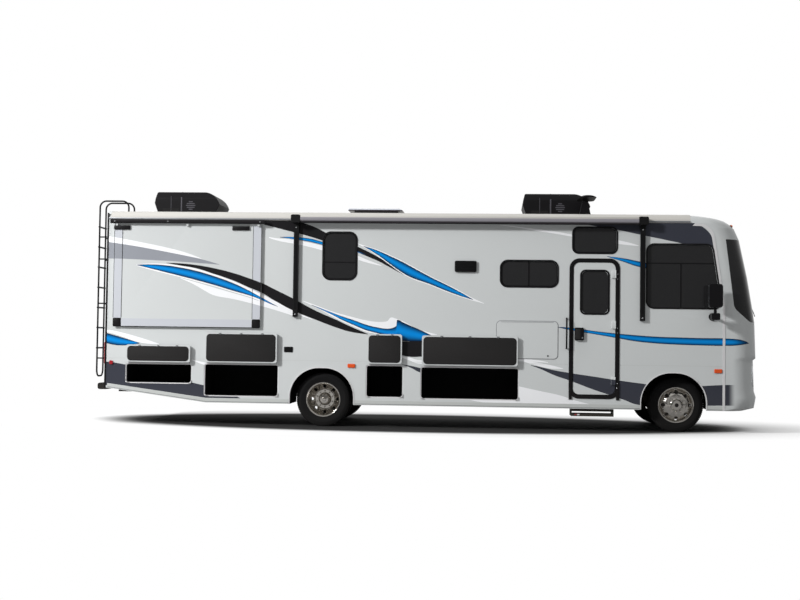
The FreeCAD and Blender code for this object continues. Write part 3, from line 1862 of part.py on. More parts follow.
def make_mirrors():
    station = size.mirror_station
    head_half = size.mirror_head_wide / 2
    low = size.mirror_head_low
    corners = oblong(
        station - head_half, station + head_half, low, low + size.mirror_head_tall, size.mirror_round
    )
    near = size.mirror_head_reach
    far = near + size.mirror_head_deep
    head = slab("mirror_head", "side", [corners], -far, -near)
    base_half = size.mirror_base_wide / 2
    base_low = size.mirror_base_low
    base_top = base_low + size.mirror_base_tall
    corners = oblong(station - base_half, station + base_half, base_low, base_top, size.mirror_base_round)
    base = slab("mirror_base", "side", [corners], -far, -near)
    centre = (near + far) / 2
    arm_route = [
        (station, -half_width, size.mirror_arm_height, 0),
        (station, -centre, size.mirror_arm_height, size.mirror_arm_radius * 2),
        (station, -centre, low + size.mirror_head_tall / 2, 0),
    ]
    arm = pipe("mirror_arm", arm_route, size.mirror_arm_radius)
    foot_spot = (station, -(half_width + size.mirror_foot_thick), size.mirror_arm_height)
    foot = drum("mirror_foot", "Y", foot_spot, size.mirror_foot_radius, size.mirror_foot_thick)
    keep("mirrors", both_sides("mirror_pair", fuse("mirror_kerb", [head, base, arm, foot])))


def make_wall_pieces():
    limits = (size.hatch_rear, size.hatch_front, size.hatch_low, size.hatch_top, size.hatch_round)
    keep(
        "service_hatch",
        slab("hatch_panel", "side", [oblong(*limits)], -(half_width + size.hatch_proud), -half_width),
    )
    vent = (size.vent_rear, size.vent_front, size.vent_low, size.vent_top, size.vent_round)
    outlet = (size.outlet_rear, size.outlet_front, size.outlet_low, size.outlet_top, size.outlet_round)
    vents = [
        slab("cooker_vent", "side", [oblong(*vent)], -(half_width + size.vent_proud), -half_width),
        slab("low_outlet", "side", [oblong(*outlet)], -(half_width + size.hatch_proud), -half_width),
    ]
    keep("side_vents", group("wall_vents", vents))
    lamps = []
    for word, side in SIDES:
        right, left = span(side, half_width, half_width + size.marker_proud)
        for index, station in enumerate((
            size.marker_tail_station, size.marker_mid_station, size.marker_nose_station
        )):
            half = size.marker_long / 2
            if index == 0:
                half = half / 2
            low = size.marker_height
            corners = oblong(station - half, station + half, low, low + size.marker_tall, size.outlet_round)
            lamps.append(slab(f"{word}_marker_{index}", "side", [corners], right, left))
    keep("marker_lamps", group("all_markers", lamps))


def make_nose_pieces():
    """Headlamps and a grille let into the front cap."""
    outer = doc.getObject("nose_outer")
    inner = doc.getObject("nose_inner")
    rear = size.nose_station - size.overrun
    ahead = size.nose_station + size.overrun
    reach = size.headlamp_reach
    half = size.headlamp_wide / 2
    low = size.headlamp_low
    corners = oblong(-(reach + half), -(reach - half), low, low + size.headlamp_tall, size.hatch_round)
    region = slab("headlamp_region", "end", [corners], rear, ahead)
    regions = both_sides("headlamp_regions", region)
    wide = size.grille_wide / 2
    grille_low = size.grille_low
    grille_top = grille_low + size.grille_tall
    opening = oblong(-wide, wide, grille_low, grille_top, size.hatch_round)
    grille_region = slab("grille_region", "end", [opening], rear, ahead)
    cap = doc.getObject("nose_shell")
    shell = cut("nose_skin", outer, [inner])
    keep("headlamps", common("headlamp_pair", shell, regions))
    bars = []
    count = int(size.grille_bars.value)
    pitch = size.grille_tall / count
    for index in range(count):
        bar_low = grille_low + pitch * (index + 0.5) - size.grille_bar_tall / 2
        bars.append(block(
            f"grille_bar_{index}", rear, ahead, -wide, wide, bar_low, bar_low + size.grille_bar_tall
        ))
    post = block(
        "grille_post",
        rear,
        ahead,
        -size.grille_bar_tall / 2,
        size.grille_bar_tall / 2,
        grille_low,
        grille_top,
    )
    grid = common("grille_grid", fuse("grille_slats", bars + [post]), grille_region)
    keep("grille", common("grille_bars", shell, grid))
    final = cut("nose_with_openings", cap, [regions, grille_region])
    cap.Label = "nose_before_openings"
    nodes.remove(cap)
    keep("front_cap", final)


# Cab


def seat(name, side):
    half = size.seat_wide / 2
    station = size.seat_station
    front = station + size.seat_long / 2
    rear = station - size.seat_long / 2
    y = outward(side, size.seat_side)
    low = size.cushion_height - size.cushion_thick
    corners = [
        (rear, low, size.seat_round),
        (front, low, size.seat_round),
        (front, size.cushion_height, size.seat_round),
        (rear + size.seat_back_thick, size.cushion_height, 0),
        (rear, size.cushion_height + size.seat_back_tall, size.seat_round),
        (rear - size.seat_back_thick, size.cushion_height + size.seat_back_tall, size.seat_round),
    ]
    form = slab(f"{name}_form", "side", [corners], y - half, y + half)
    post = drum(
        f"{name}_post", "Z", (station, y, size.floor_height), size.seat_post_radius, low - size.floor_height
    )
    return form, post


def make_cab():
    seats = []
    posts = []
    for name, side in (("guest_seat", KERB), ("driver_seat", ROAD)):
        form, post = seat(name, side)
        seats.append(form)
        posts.append(post)
    keep("cab_seats", group("seat_pair", seats))
    inset = half_width - size.skin_thick - size.dash_inset
    rear = size.dash_rear_station
    front = size.seam_low_station
    mid = (rear + front) / 2
    corners = [
        (rear, size.floor_height, 0),
        (front, size.floor_height, 0),
        (front, size.dash_top_height, 0),
        (mid, size.dash_top_height, size.seat_round),
        (rear, size.dash_top_height - size.cushion_thick, size.seat_round),
    ]
    dash = slab("dash_form", "side", [corners], -inset, inset)
    half = size.cowl_wide / 2
    cowl = [
        (size.cowl_rear_station, size.floor_height, 0),
        (rear, size.floor_height, 0),
        (rear, size.cowl_top_height, 0),
        (size.cowl_rear_station, size.cowl_top_height, size.seat_round * 2),
    ]
    keep(
        "cab_bases",
        group("cab_base_pieces", posts + [slab("cowl_form", "side", [cowl], -half / 2, half / 2)]),
    )
    return dash


def make_steering(dash):
    """Wheel on a sloping column. The column's axis rises to the rear."""
    lean = Rotation(Vector(0, 1, 0), -COLUMN_LEAN)
    y = size.seat_side
    ring = doc.addObject("Part::Torus", "steering_ring")
    bind(ring, "Radius1", size.steering_radius)
    bind(ring, "Radius2", size.steering_grip)
    spokes = []
    for index in range(STEERING_SPOKES):
        spoke = doc.addObject("Part::Cylinder", f"steering_spoke_{index}")
        turn = Rotation(Vector(0, 0, 1), 90 + 360 * index / STEERING_SPOKES)
        spoke.Placement.Rotation = turn * Rotation(Vector(0, 1, 0), 90)
        bind(spoke, "Radius", size.steering_grip * SPOKE_SHARE)
        bind(spoke, "Height", size.steering_radius)
        spokes.append(spoke)
    boss_long = size.steering_grip * BOSS_SHARE
    boss = doc.addObject("Part::Cylinder", "steering_boss")
    bind(boss, "Radius", size.steering_hub)
    bind(boss, "Height", boss_long)
    bind(boss, "Placement.Base.z", -boss_long / 2)
    wheel = fuse("steering_wheel_form", [ring, boss] + spokes)
    wheel.Placement.Rotation = lean
    place(wheel, size.steering_station - middle, y, size.steering_height)
    keep("steering_wheel", wheel)
    column = doc.addObject("Part::Cylinder", "column_form")
    column.Placement.Rotation = lean
    bind(column, "Radius", size.steering_hub * COLUMN_SHARE)
    bind(column, "Height", size.column_length)
    start = boss_long / 2 + size.seat_gap + size.column_length
    slope_x = math.sin(math.radians(COLUMN_LEAN))
    slope_z = math.cos(math.radians(COLUMN_LEAN))
    place(
        column, size.steering_station + start * slope_x - middle, y, size.steering_height - start * slope_z
    )
    keep("dashboard", fuse("dash_and_column", [dash, column]))


make_roof()
make_rear_cap()
make_front_cap()
make_walls()
make_window_frames()
make_bay_doors(make_bays())
make_entry()
make_stepwell()
make_step()
make_floor()
make_frame()
make_wells()
make_wheels()
make_axles()
make_drive_line()
make_rooms()
make_awning()
make_roof_pieces()
make_ladder()
make_tail()
make_mirrors()
make_wall_pieces()
make_nose_pieces()
make_steering(make_cab())

doc.recompute()
for item in doc.Objects:
    if "Invalid" in item.State or "Error" in item.State:
        raise RuntimeError(f"{item.Name} failed: {item.State}")
for node in nodes:
    if node.Shape.isNull() or not node.Shape.isValid():
        raise RuntimeError(f"{node.Label} has no valid shape")
os.makedirs("parts", exist_ok=True)
for node in nodes:
    node.Shape.exportStep(f"parts/{node.Label}.step")
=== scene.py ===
"""Finish, fittings, light and camera for a long motorhome seen from its kerb side, in metres, nose towards +X."""
import json
import math

import bmesh
import bpy
from mathutils import Matrix, Vector
from mathutils.bvhtree import BVHTree

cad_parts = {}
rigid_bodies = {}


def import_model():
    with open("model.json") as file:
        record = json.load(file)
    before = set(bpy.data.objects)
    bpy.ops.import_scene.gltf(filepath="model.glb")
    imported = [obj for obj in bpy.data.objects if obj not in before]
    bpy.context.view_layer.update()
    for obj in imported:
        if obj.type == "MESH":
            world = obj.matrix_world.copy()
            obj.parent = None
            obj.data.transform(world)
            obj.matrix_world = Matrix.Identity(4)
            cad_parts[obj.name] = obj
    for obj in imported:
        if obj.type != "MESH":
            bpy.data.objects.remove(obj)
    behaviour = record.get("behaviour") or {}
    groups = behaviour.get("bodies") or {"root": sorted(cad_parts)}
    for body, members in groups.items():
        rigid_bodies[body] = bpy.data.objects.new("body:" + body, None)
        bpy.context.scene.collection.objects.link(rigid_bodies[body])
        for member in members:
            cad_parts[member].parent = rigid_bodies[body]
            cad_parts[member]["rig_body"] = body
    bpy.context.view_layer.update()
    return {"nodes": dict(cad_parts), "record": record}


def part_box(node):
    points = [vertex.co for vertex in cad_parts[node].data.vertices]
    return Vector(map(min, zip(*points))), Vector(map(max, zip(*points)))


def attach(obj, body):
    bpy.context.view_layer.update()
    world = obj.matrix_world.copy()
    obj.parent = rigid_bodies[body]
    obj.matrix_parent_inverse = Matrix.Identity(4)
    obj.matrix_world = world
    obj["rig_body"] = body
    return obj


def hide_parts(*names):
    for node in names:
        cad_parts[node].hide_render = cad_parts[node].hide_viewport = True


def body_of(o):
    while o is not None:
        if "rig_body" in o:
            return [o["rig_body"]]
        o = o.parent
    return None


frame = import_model()
nodes = frame["nodes"]
slots = {part["node"]: part["material_slot"] for part in frame["record"]["subparts"]}

PHOTO_WIDE, PHOTO_TALL = 800, 600
CAMERA_PLACE = Vector((0.903, -19.586, 1.286))
CAMERA_YAW = math.radians(-3.931)
CAMERA_PITCH = math.radians(1.978)
CAMERA_ROLL = math.radians(0.762)
FOCAL_PIXELS = 1221.9
FLOOR_HALF = 60
FULL_TURN = math.tau
KERB, ROAD = -1, 1
SIDES = {"kerb": KERB, "road": ROAD}

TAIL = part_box("rear_cap")[0].x
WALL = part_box("kerb_wall")[0].y
HALF_WIDE = -WALL
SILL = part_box("kerb_wall")[0].z
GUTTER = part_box("kerb_wall")[1].z
# How far trim stands out from what it lies on, and how far a painted line does.
PROUD = 0.003
HAIR = 0.0012


def tone(red, green, blue):
    """A colour given as it looks on a screen, 0 to 255, turned into the light values that shaders use."""
    def light(level):
        share = level / 255
        return share / 12.92 if share <= 0.04045 else ((share + 0.055) / 1.055) ** 2.4
    return (light(red), light(green), light(blue), 1.0)


PALE_GREY = tone(196, 199, 199)
SLATE = tone(55, 57, 66)
MID_GREY = tone(141, 144, 151)
STRIPE_BLACK = tone(26, 25, 27)
STRIPE_BLUE = tone(0, 132, 212)
STRIPE_NAVY = tone(6, 22, 44)
STRIPE_WHITE = tone(234, 235, 237)
ROAD_DUST = tone(120, 112, 100)


def camera_axes():
    """Unit vectors to the right of the picture, up it, and into it."""
    ahead = Vector((math.sin(CAMERA_YAW) * math.cos(CAMERA_PITCH),
                    math.cos(CAMERA_YAW) * math.cos(CAMERA_PITCH), math.sin(CAMERA_PITCH)))
    level = Vector((math.cos(CAMERA_YAW), -math.sin(CAMERA_YAW), 0))
    upright = level.cross(ahead)
    right = math.cos(CAMERA_ROLL) * level + math.sin(CAMERA_ROLL) * upright
    above = math.cos(CAMERA_ROLL) * upright - math.sin(CAMERA_ROLL) * level
    return right, above, ahead


def sight_line(column, row):
    """The way from the camera through a pixel of the photograph."""
    right, above, ahead = camera_axes()
    return ahead * FOCAL_PIXELS + right * (column - PHOTO_WIDE / 2) + above * (PHOTO_TALL / 2 - row)


def on_side(column, row):
    """Where a pixel of the photograph falls on the kerb wall: place along the coach, and height."""
    aim = sight_line(column, row)
    spot = CAMERA_PLACE + aim * ((WALL - CAMERA_PLACE.y) / aim.y)
    return spot.x, spot.z


# Materials


class Shader:
    """A material's node tree, with a short way to add nodes and join them."""

    def __init__(self, name):
        self.material = bpy.data.materials.new(name)
        self.material.use_nodes = True
        self.tree = self.material.node_tree
        self.surface = self.tree.nodes["Principled BSDF"]

    def add(self, kind, settings=(), **values):
        return add_node(self.tree, kind, settings, **values)

    def join(self, start, end):
        self.tree.links.new(start, end)

    def put(self, **values):
        """Sets the shader's own sockets to constants."""
        for name, value in values.items():
            self.surface.inputs[name.replace("_", " ")].default_value = value


def add_node(tree, kind, settings=(), **values):
    """A node of a kind, with its settings, and its inputs set to a value or joined to a socket."""
    node = tree.nodes.new("ShaderNode" + kind)
    for name, value in dict(settings).items():
        setattr(node, name, value)
    for name, value in values.items():
        numbered = name[0] == "_" and name[1:].isdigit()
        socket = node.inputs[int(name[1:])] if numbered else node.inputs[name.replace("_", " ")]
        if isinstance(value, bpy.types.NodeSocket):
            tree.links.new(value, socket)
        else:
            socket.default_value = value
    return node


def maths(tree, operation, first, second=0.0, third=0.0, clamp=False):
    settings = {"operation": operation, "use_clamp": clamp}
    return add_node(tree, "Math", settings, _0=first, _1=second, _2=third).outputs[0]


def blend_colours(tree, share, under, over):
    return add_node(tree, "Mix", {"data_type": "RGBA"}, Factor=share, _6=under, _7=over).outputs[2]


def ramp(tree, value, low, high, start=0.0, end=1.0):
    """A value's smooth way from low to high, as start to end."""
    settings = {"interpolation_type": "SMOOTHSTEP"}
    return add_node(tree, "MapRange", settings, Value=value, _1=low, _2=high, _3=start, _4=end).outputs[0]


def new_group(name, inputs, outputs):
    """A shader node group with named sockets: each is a name, a kind and, for inputs, a value."""
    tree = bpy.data.node_groups.new(name, "ShaderNodeTree")
    for label, kind, value in inputs:
        socket = tree.interface.new_socket(label, in_out="INPUT", socket_type="NodeSocket" + kind)
        socket.default_value = value
    for label, kind in outputs:
        tree.interface.new_socket(label, in_out="OUTPUT", socket_type="NodeSocket" + kind)
    return tree, tree.nodes.new("NodeGroupInput").outputs, tree.nodes.new("NodeGroupOutput").inputs


CLOUDS = {"Scale": 1.3, "Detail": 5.0, "Roughness": 0.6}
GRAIN_DETAIL = 3.0
DRIFT_GAIN, DRIFT_START = 1.6, -0.3
SPECK_SHARE, DUST_ROUGHENS = 0.6, 0.5


def make_weathering():
    """Grain, cloudy wear and road dust that thins out with height, for every finish on the coach."""
    tree, given, result = new_group(
        "weathering",
        [("Colour", "Color", (0.5, 0.5, 0.5, 1)), ("Roughness", "Float", 0.4), ("Wear", "Float", 0.1),
         ("Dust", "Float", 0.3), ("Dust top", "Float", 0.8), ("Grain size", "Float", 0.01)],
        [("Colour", "Color"), ("Roughness", "Float"), ("Height", "Float")])
    place = add_node(tree, "TexCoord").outputs["Object"]
    grain_scale = maths(tree, "DIVIDE", 1.0, given["Grain size"])
    clouds = add_node(tree, "TexNoise", Vector=place, **CLOUDS).outputs["Fac"]
    grain = add_node(tree, "TexNoise", Vector=place, Scale=grain_scale, Detail=GRAIN_DETAIL).outputs["Fac"]
    height = add_node(tree, "SeparateXYZ", Vector=place).outputs["Z"]
    low = ramp(tree, height, 0.0, given["Dust top"], 1.0, 0.0)
    drifts = maths(tree, "MULTIPLY", low, maths(tree, "MULTIPLY_ADD", clouds, DRIFT_GAIN, DRIFT_START), clamp=True)
    dust = maths(tree, "MULTIPLY", drifts, given["Dust"], clamp=True)
    shade = maths(tree, "MULTIPLY_ADD", maths(tree, "SUBTRACT", clouds, 0.5), given["Wear"], 1.0)
    speck = maths(tree, "MULTIPLY_ADD", maths(tree, "SUBTRACT", grain, 0.5),
                  maths(tree, "MULTIPLY", given["Wear"], SPECK_SHARE), shade)
    tinted = add_node(tree, "VectorMath", {"operation": "SCALE"}, _0=given["Colour"], Scale=speck).outputs[0]
    rough = maths(tree, "ADD", given["Roughness"], maths(tree, "MULTIPLY", dust, DUST_ROUGHENS))
    rough = maths(tree, "MULTIPLY_ADD", maths(tree, "SUBTRACT", clouds, 0.5), given["Wear"], rough, clamp=True)
    tree.links.new(blend_colours(tree, dust, tinted, ROAD_DUST), result["Colour"])
    tree.links.new(rough, result["Roughness"])
    tree.links.new(grain, result["Height"])
    return tree


# Each stripe is its colour, its upper edge and its lower edge, from tip to tip, as pixels of the
# photograph. A colour that is a pair is airbrushed: dark at its edges and light along its middle.
AIRBRUSHED = (STRIPE_NAVY, STRIPE_BLUE)
STRIPES = [
    ("tail_white", STRIPE_WHITE,
     [(98, 234.6), (120, 238.2), (138, 241.6), (167, 247.6), (184, 252), (202, 258.6)],
     [(98, 240.4), (120, 243.7), (138, 246.6), (167, 252), (184, 255.4), (202, 259)]),
    ("tail_grey", MID_GREY,
     [(98, 240.4), (120, 243.7), (138, 246.6), (167, 252), (184, 255.4), (202, 259.4), (220, 264.6)],
     [(98, 258.3), (120, 258.8), (148, 260), (181, 261.8), (205, 263.6), (220, 264.8)]),
    ("room_wedge", STRIPE_WHITE,
     [(181, 278), (196, 282.2), (215, 287.8), (234, 293.3), (250, 297.9), (269, 304.6), (292, 312.6), (298, 317)],
     [(181, 278.4), (196, 285.4), (205, 290.6), (214, 295.2), (234, 299.2), (258, 305.1), (274, 309.7), (298, 317.4)]),
    ("room_line", STRIPE_WHITE,
     [(137, 264.6), (152, 263.6), (167, 264.2), (181, 265.9), (196, 268.5), (215, 274.4), (234, 281), (250, 288.5),
      (274, 300.5), (292, 310.1), (312, 319)],
     [(137, 265.6), (148, 269), (167, 273.8), (181, 277.3), (196, 281.2), (215, 286.4), (234, 292.2), (250, 297),
      (269, 304.8), (290, 312), (312, 319.6)]),
    ("room_blue", AIRBRUSHED,
     [(137, 265), (143, 264.6), (152, 264.5), (167, 265.5), (181, 267.6), (196, 270.8), (215, 276.4), (234, 283.4),
      (250, 291), (258, 295.4), (269, 301.7), (278, 306.6)],
     [(137, 265.2), (148, 267.8), (167, 272.6), (181, 276.1), (196, 280), (215, 285.2), (234, 291), (250, 295.6),
      (258, 298.4), (269, 303.4), (278, 306.8)]),
    ("room_black", STRIPE_BLACK,
     [(167, 262.9), (181, 263.5), (196, 265), (215, 268.4), (234, 273.2), (250, 278.6), (263, 283.5), (274, 289),
      (292, 297.9), (315, 310.3), (338, 320.6), (349, 325.8), (368, 333.9)],
     [(167, 263.2), (181, 265.7), (196, 268.3), (215, 274.2), (234, 280.8), (250, 287.8), (260, 291.9), (274, 300.3),
      (292, 310), (315, 319.5), (338, 328.1), (349, 331.5), (368, 334.4)]),
    ("window_black", STRIPE_BLACK,
     [(258, 217), (280, 217.4), (299, 221.7), (315, 227.1), (326, 232.8), (355, 245.5), (366, 250.6), (378, 256.9),
      (389, 263.8), (401, 271.4), (408.5, 276.6)],
     [(258, 223), (274, 227.2), (292, 231.8), (309, 236.3), (322, 240.4), (355, 251.3), (366, 255.9), (378, 261),
      (389, 266.9), (401, 273.3), (408.5, 276.8)]),
    ("window_white", STRIPE_WHITE,
     [(269, 237), (280, 238.6), (292, 239.6), (309, 242.6), (322, 245.7), (355, 254.8), (366, 259.3), (381.5, 265.4)],
     [(269, 237.8), (280, 241.2), (292, 243.3), (309, 246.8), (322, 250.3), (355, 258.8), (366, 262.3), (381.5, 265.9)]),
    ("window_blue", AIRBRUSHED,
     [(280, 237), (292, 236.9), (309, 238.4), (322, 241.7), (355, 250.6), (366, 254.6)],
     [(280, 237.4), (292, 238.9), (309, 241.7), (322, 244.8), (355, 251.6), (366, 255)]),
    ("middle_line", STRIPE_WHITE,
     [(357, 243.2), (368, 246.6), (378, 249.8), (390, 255), (401, 260.2), (417, 268.8), (430, 275.8), (444, 282.8),
      (457, 289.3), (472, 297.6), (484, 303.2)],
     [(357, 243.6), (368, 249.6), (378, 256.3), (390, 265), (401, 272.8), (411, 278.4), (430, 285.2), (444, 290.9),
      (457, 295.7), (472, 300.4), (484, 303.6)]),
    ("middle_blue", AIRBRUSHED,
     [(363.5, 246), (378, 250.7), (390, 256), (401, 261.2), (417, 269.8), (430, 276.8), (444, 283.7), (457, 290.3),
      (473, 299.5)],
     [(363.5, 246.4), (378, 255.2), (390, 264), (401, 271.8), (411, 277.4), (430, 284.2), (444, 289.9), (457, 294.8),
      (473, 299.8)]),
    ("lower_line", STRIPE_WHITE,
     [(303, 300.6), (320, 306.8), (332, 311.3), (355, 317.6), (366, 320.3), (378, 321.8), (387, 321.2), (391.5, 317.4),
      (394.5, 318.2), (403, 321.2), (417, 328.6), (437, 334.4)],
     [(303, 301.2), (320, 309.4), (332, 316.4), (355, 327.2), (366, 331.6), (378, 334.4), (387, 336), (394, 336),
      (403, 336), (417, 335.6), (437, 334.8)]),
    ("lower_blue", AIRBRUSHED,
     [(311.5, 304.8), (320, 308), (332, 312.6), (343, 316.6), (355, 320.6), (366, 324.6), (378, 327.5), (389, 328.6),
      (396.5, 325.8), (396.9, 320), (403, 322.4), (412, 326.4), (420, 329.8), (437, 338), (446, 341.4)],
     [(311.5, 305.2), (320, 309), (332, 314.7), (343, 320.4), (355, 325.6), (366, 330.2), (378, 333.4), (390, 337),
      (400, 340.6), (410, 341.3), (420, 341.4), (437, 341.5), (446, 341.6)]),
    ("lower_black", STRIPE_BLACK,
     [(385, 341), (395, 341.3), (410, 341.3), (430, 341.4), (446, 341.5)],
     [(385, 341.4), (395, 349), (405, 356), (430, 356.4), (446, 356.6)]),
    ("lower_white", STRIPE_WHITE,
     [(398, 355.6), (410, 357.6), (421, 360.2), (450, 360), (500, 358.6), (522, 358.8), (548, 362.2)],
     [(398, 356), (410, 360.6), (421, 363.8), (450, 364), (500, 361.8), (522, 361.4), (548, 362.8)]),
    ("lower_slate", SLATE,
     [(402, 364.4), (410, 365.6), (420, 368), (450, 374), (520, 388)],
     [(402, 364.8), (410, 367.4), (420, 372.4), (450, 379.6), (520, 388.6)]),
    ("front_wedge", STRIPE_WHITE,
     [(470, 375.6), (520, 386.6), (540, 391), (560, 395.4), (575, 400.4), (593, 405)],
     [(470, 400), (490, 403.2), (520, 404.4), (540, 404.6), (560, 405), (593, 405.4)]),
    ("front_tip", STRIPE_WHITE,
     [(522, 360.6), (535, 362.2), (548, 364.6), (563, 368.4)],
     [(522, 361), (535, 365), (548, 368.2), (563, 368.8)]),
    ("front_slate", SLATE,
     [(531, 365.2), (540, 366.9), (554, 370.2), (570, 373), (596, 376.9), (613, 379.6), (638, 383.1), (650, 384.6),
      (675, 386), (702, 386), (715, 385.4), (724, 385), (731, 385), (736, 385)],
     [(531, 365.6), (540, 368.8), (554, 375.1), (570, 380.7), (596, 390.5), (610, 395.1), (624, 399.9), (641, 405.2),
      (675, 405.6), (702, 405.7), (715, 405.7), (724, 405.7), (731, 405.7), (736, 405.7)]),
    ("tail_lower_white", STRIPE_WHITE,
     [(98, 329), (110, 330), (125, 333.2), (138, 336.8), (151, 341), (159, 343.7)],
     [(98, 331), (110, 332.7), (125, 337.6), (138, 342), (151, 344), (159, 344.2)]),
    ("tail_blue", AIRBRUSHED,
     [(98, 331.4), (104, 332.4), (120, 336.8), (139.5, 342.8)],
     [(98, 341.8), (104, 342.8), (120, 345.4), (139.5, 343.4)]),
    ("bay_white", STRIPE_WHITE,
     [(192, 359.6), (206, 362.7), (232, 368), (262, 374)],
     [(192, 360.2), (206, 365.3), (232, 371), (262, 374.6)]),
    ("tail_slate", SLATE,
     [(98, 360.4), (104, 361.1), (124, 364.2), (158, 373), (191, 382.2), (204, 385.4), (225, 391), (241.5, 399)],
     [(98, 384), (104, 384.9), (126, 388.2), (164, 394), (189, 396.5), (206, 398.2), (225, 399), (241.5, 399.4)]),
    ("door_blue", AIRBRUSHED,
     [(558, 327), (567, 327.4), (582, 329.3), (596, 331.2), (619, 333.7), (638, 335.4), (659, 336.8), (680, 337.5),
      (702, 338.1), (724, 338.4), (736, 339.1), (744, 340.6), (750, 343.2)],
     [(558, 327.4), (567, 329.4), (582, 332.2), (596, 334.5), (619, 338.5), (638, 341.7), (659, 343.7), (680, 344.8),
      (702, 345.5), (724, 345.9), (736, 345.6), (744, 344.6), (750, 343.6)]),
    ("upper_white", STRIPE_WHITE,
     [(500, 224.6), (520, 227), (540, 229.6), (556, 231.6), (573, 234.6), (617, 240), (638.5, 245.4)],
     [(500, 225), (520, 228), (540, 231.4), (556, 233.8), (573, 236.8), (617, 243.8), (638.5, 246)]),
    ("window_tip", AIRBRUSHED,
     [(607, 256.2), (624, 258.4), (638, 261.2), (650, 263.8), (668, 268)],
     [(607, 256.6), (624, 262), (638, 266.7), (650, 269), (668, 270)]),
    ("upper_slate", SLATE,
     [(560, 218), (600, 218), (640, 218), (688, 222.6), (695, 223.4), (701.5, 226.3), (708.5, 231.8), (712.6, 238.9),
      (714.5, 248.8)],
     [(560, 219), (600, 227), (613, 229), (638, 234.2), (650, 236.7), (666, 240), (686, 244.4), (700, 248.4),
      (714.5, 249)]),
]
# The front slate stripe fades out between two places towards the nose, a painted reflection on the cap's curve.
FADING_STRIPE = "front_slate"
FADE_START_PIXEL, FADE_END_PIXEL = (728, 395), (736, 395)
FADE_PLACES = (on_side(*FADE_START_PIXEL)[0], on_side(*FADE_END_PIXEL)[0])
# Room round a stripe on its curve, the thinnest stripe that is shaded, and how the airbrush falls off
# across a stripe and at its tips.
CURVE_MARGIN, THINNEST = 0.05, 0.001
AIRBRUSH_FALL, AIRBRUSH_TIPS = 1.7, (0.8, 1.0, 1.0, 0.1)


def edge_curve(tree, share, edge, start, end, low, high):
    """A stripe's edge as a smooth curve of its height over its length, both as shares."""
    node = add_node(tree, "FloatCurve", Value=share)
    curve = node.mapping.curves[0]
    spots = [((x - start) / (end - start), (z - low) / (high - low)) for x, z in edge]
    for _ in spots[2:]:
        curve.points.new(0.5, 0.5)
    for point, spot in zip(curve.points, sorted(spots)):
        point.location = spot
    node.mapping.update()
    return node.outputs[0]


def make_livery():
    """The coach's swept stripes, painted one over another, over its length and height."""
    tree, given, result = new_group(
        "livery", [("Base", "Color", PALE_GREY), ("Place along", "Float", 0.0), ("Height", "Float", 0.0)],
        [("Colour", "Color")])
    colour = given["Base"]
    for name, paint, upper, lower in STRIPES:
        upper = [on_side(*pixel) for pixel in upper]
        lower = [on_side(*pixel) for pixel in lower]
        start, end = upper[0][0], upper[-1][0]
        heights = [z for x, z in upper + lower]
        low, high = min(heights) - CURVE_MARGIN, max(heights) + CURVE_MARGIN
        share = maths(tree, "DIVIDE", maths(tree, "SUBTRACT", given["Place along"], start), end - start)
        level = maths(tree, "DIVIDE", maths(tree, "SUBTRACT", given["Height"], low), high - low)
        top = edge_curve(tree, share, upper, start, end, low, high)
        foot = edge_curve(tree, share, lower, start, end, low, high)
        mask = maths(tree, "MULTIPLY", maths(tree, "LESS_THAN", level, top), maths(tree, "GREATER_THAN", level, foot))
        mask = maths(tree, "MULTIPLY", mask, maths(tree, "COMPARE", share, 0.5, 0.5))
        # Painted reflection: the front slate stripe fades out towards the nose.
        if name == FADING_STRIPE:
            mask = maths(tree, "MULTIPLY", mask, ramp(tree, given["Place along"], *FADE_PLACES, 1.0, 0.0))
        if paint is AIRBRUSHED:
            across = maths(tree, "DIVIDE", maths(tree, "SUBTRACT", level, foot),
                           maths(tree, "MAXIMUM", maths(tree, "SUBTRACT", top, foot), THINNEST))
            spread = maths(tree, "ABSOLUTE", maths(tree, "MULTIPLY_ADD", across, 2.0, -1.0))
            bright = maths(tree, "SUBTRACT", 1.0, maths(tree, "POWER", spread, 2.0), clamp=True)
            bright = maths(tree, "POWER", bright, AIRBRUSH_FALL)
            ends = maths(tree, "ABSOLUTE", maths(tree, "MULTIPLY_ADD", share, 2.0, -1.0))
            bright = maths(tree, "MULTIPLY", bright, ramp(tree, ends, *AIRBRUSH_TIPS))
            paint = blend_colours(tree, bright, STRIPE_NAVY, STRIPE_BLUE)
        colour = blend_colours(tree, mask, colour, paint)
    tree.links.new(colour, result["Colour"])
    return tree


weathering = make_weathering()
livery = make_livery()

MATT_SPECULAR, GLOSS_SPECULAR = 0.14, 0.5
PAINT_WEAR = {"wear": 0.02, "dust": 0.12, "grain": 0.004, "depth": 0.00003}
BAND_EDGE = 0.004
SIDEWAYS = 0.25
FITTING_BLACK = tone(26, 24, 26)


def finish_shader(shader, colour, roughness, wear=0.08, dust=0.25, dust_top=0.9, grain=0.01, depth=0.0002):
    """Runs a colour through the weathering into the surface, with its grain as a fine relief."""
    group = shader.tree.nodes.new("ShaderNodeGroup")
    group.node_tree = weathering
    values = {"Roughness": roughness, "Wear": wear, "Dust": dust, "Dust top": dust_top, "Grain size": grain}
    for name, value in values.items():
        group.inputs[name].default_value = value
    if isinstance(colour, bpy.types.NodeSocket):
        shader.join(colour, group.inputs["Colour"])
    else:
        group.inputs["Colour"].default_value = colour
    bump = shader.add("Bump", Strength=1.0, Distance=depth, Height=group.outputs["Height"])
    shader.join(group.outputs["Colour"], shader.surface.inputs["Base Color"])
    shader.join(group.outputs["Roughness"], shader.surface.inputs["Roughness"])
    shader.join(bump.outputs["Normal"], shader.surface.inputs["Normal"])
    return shader


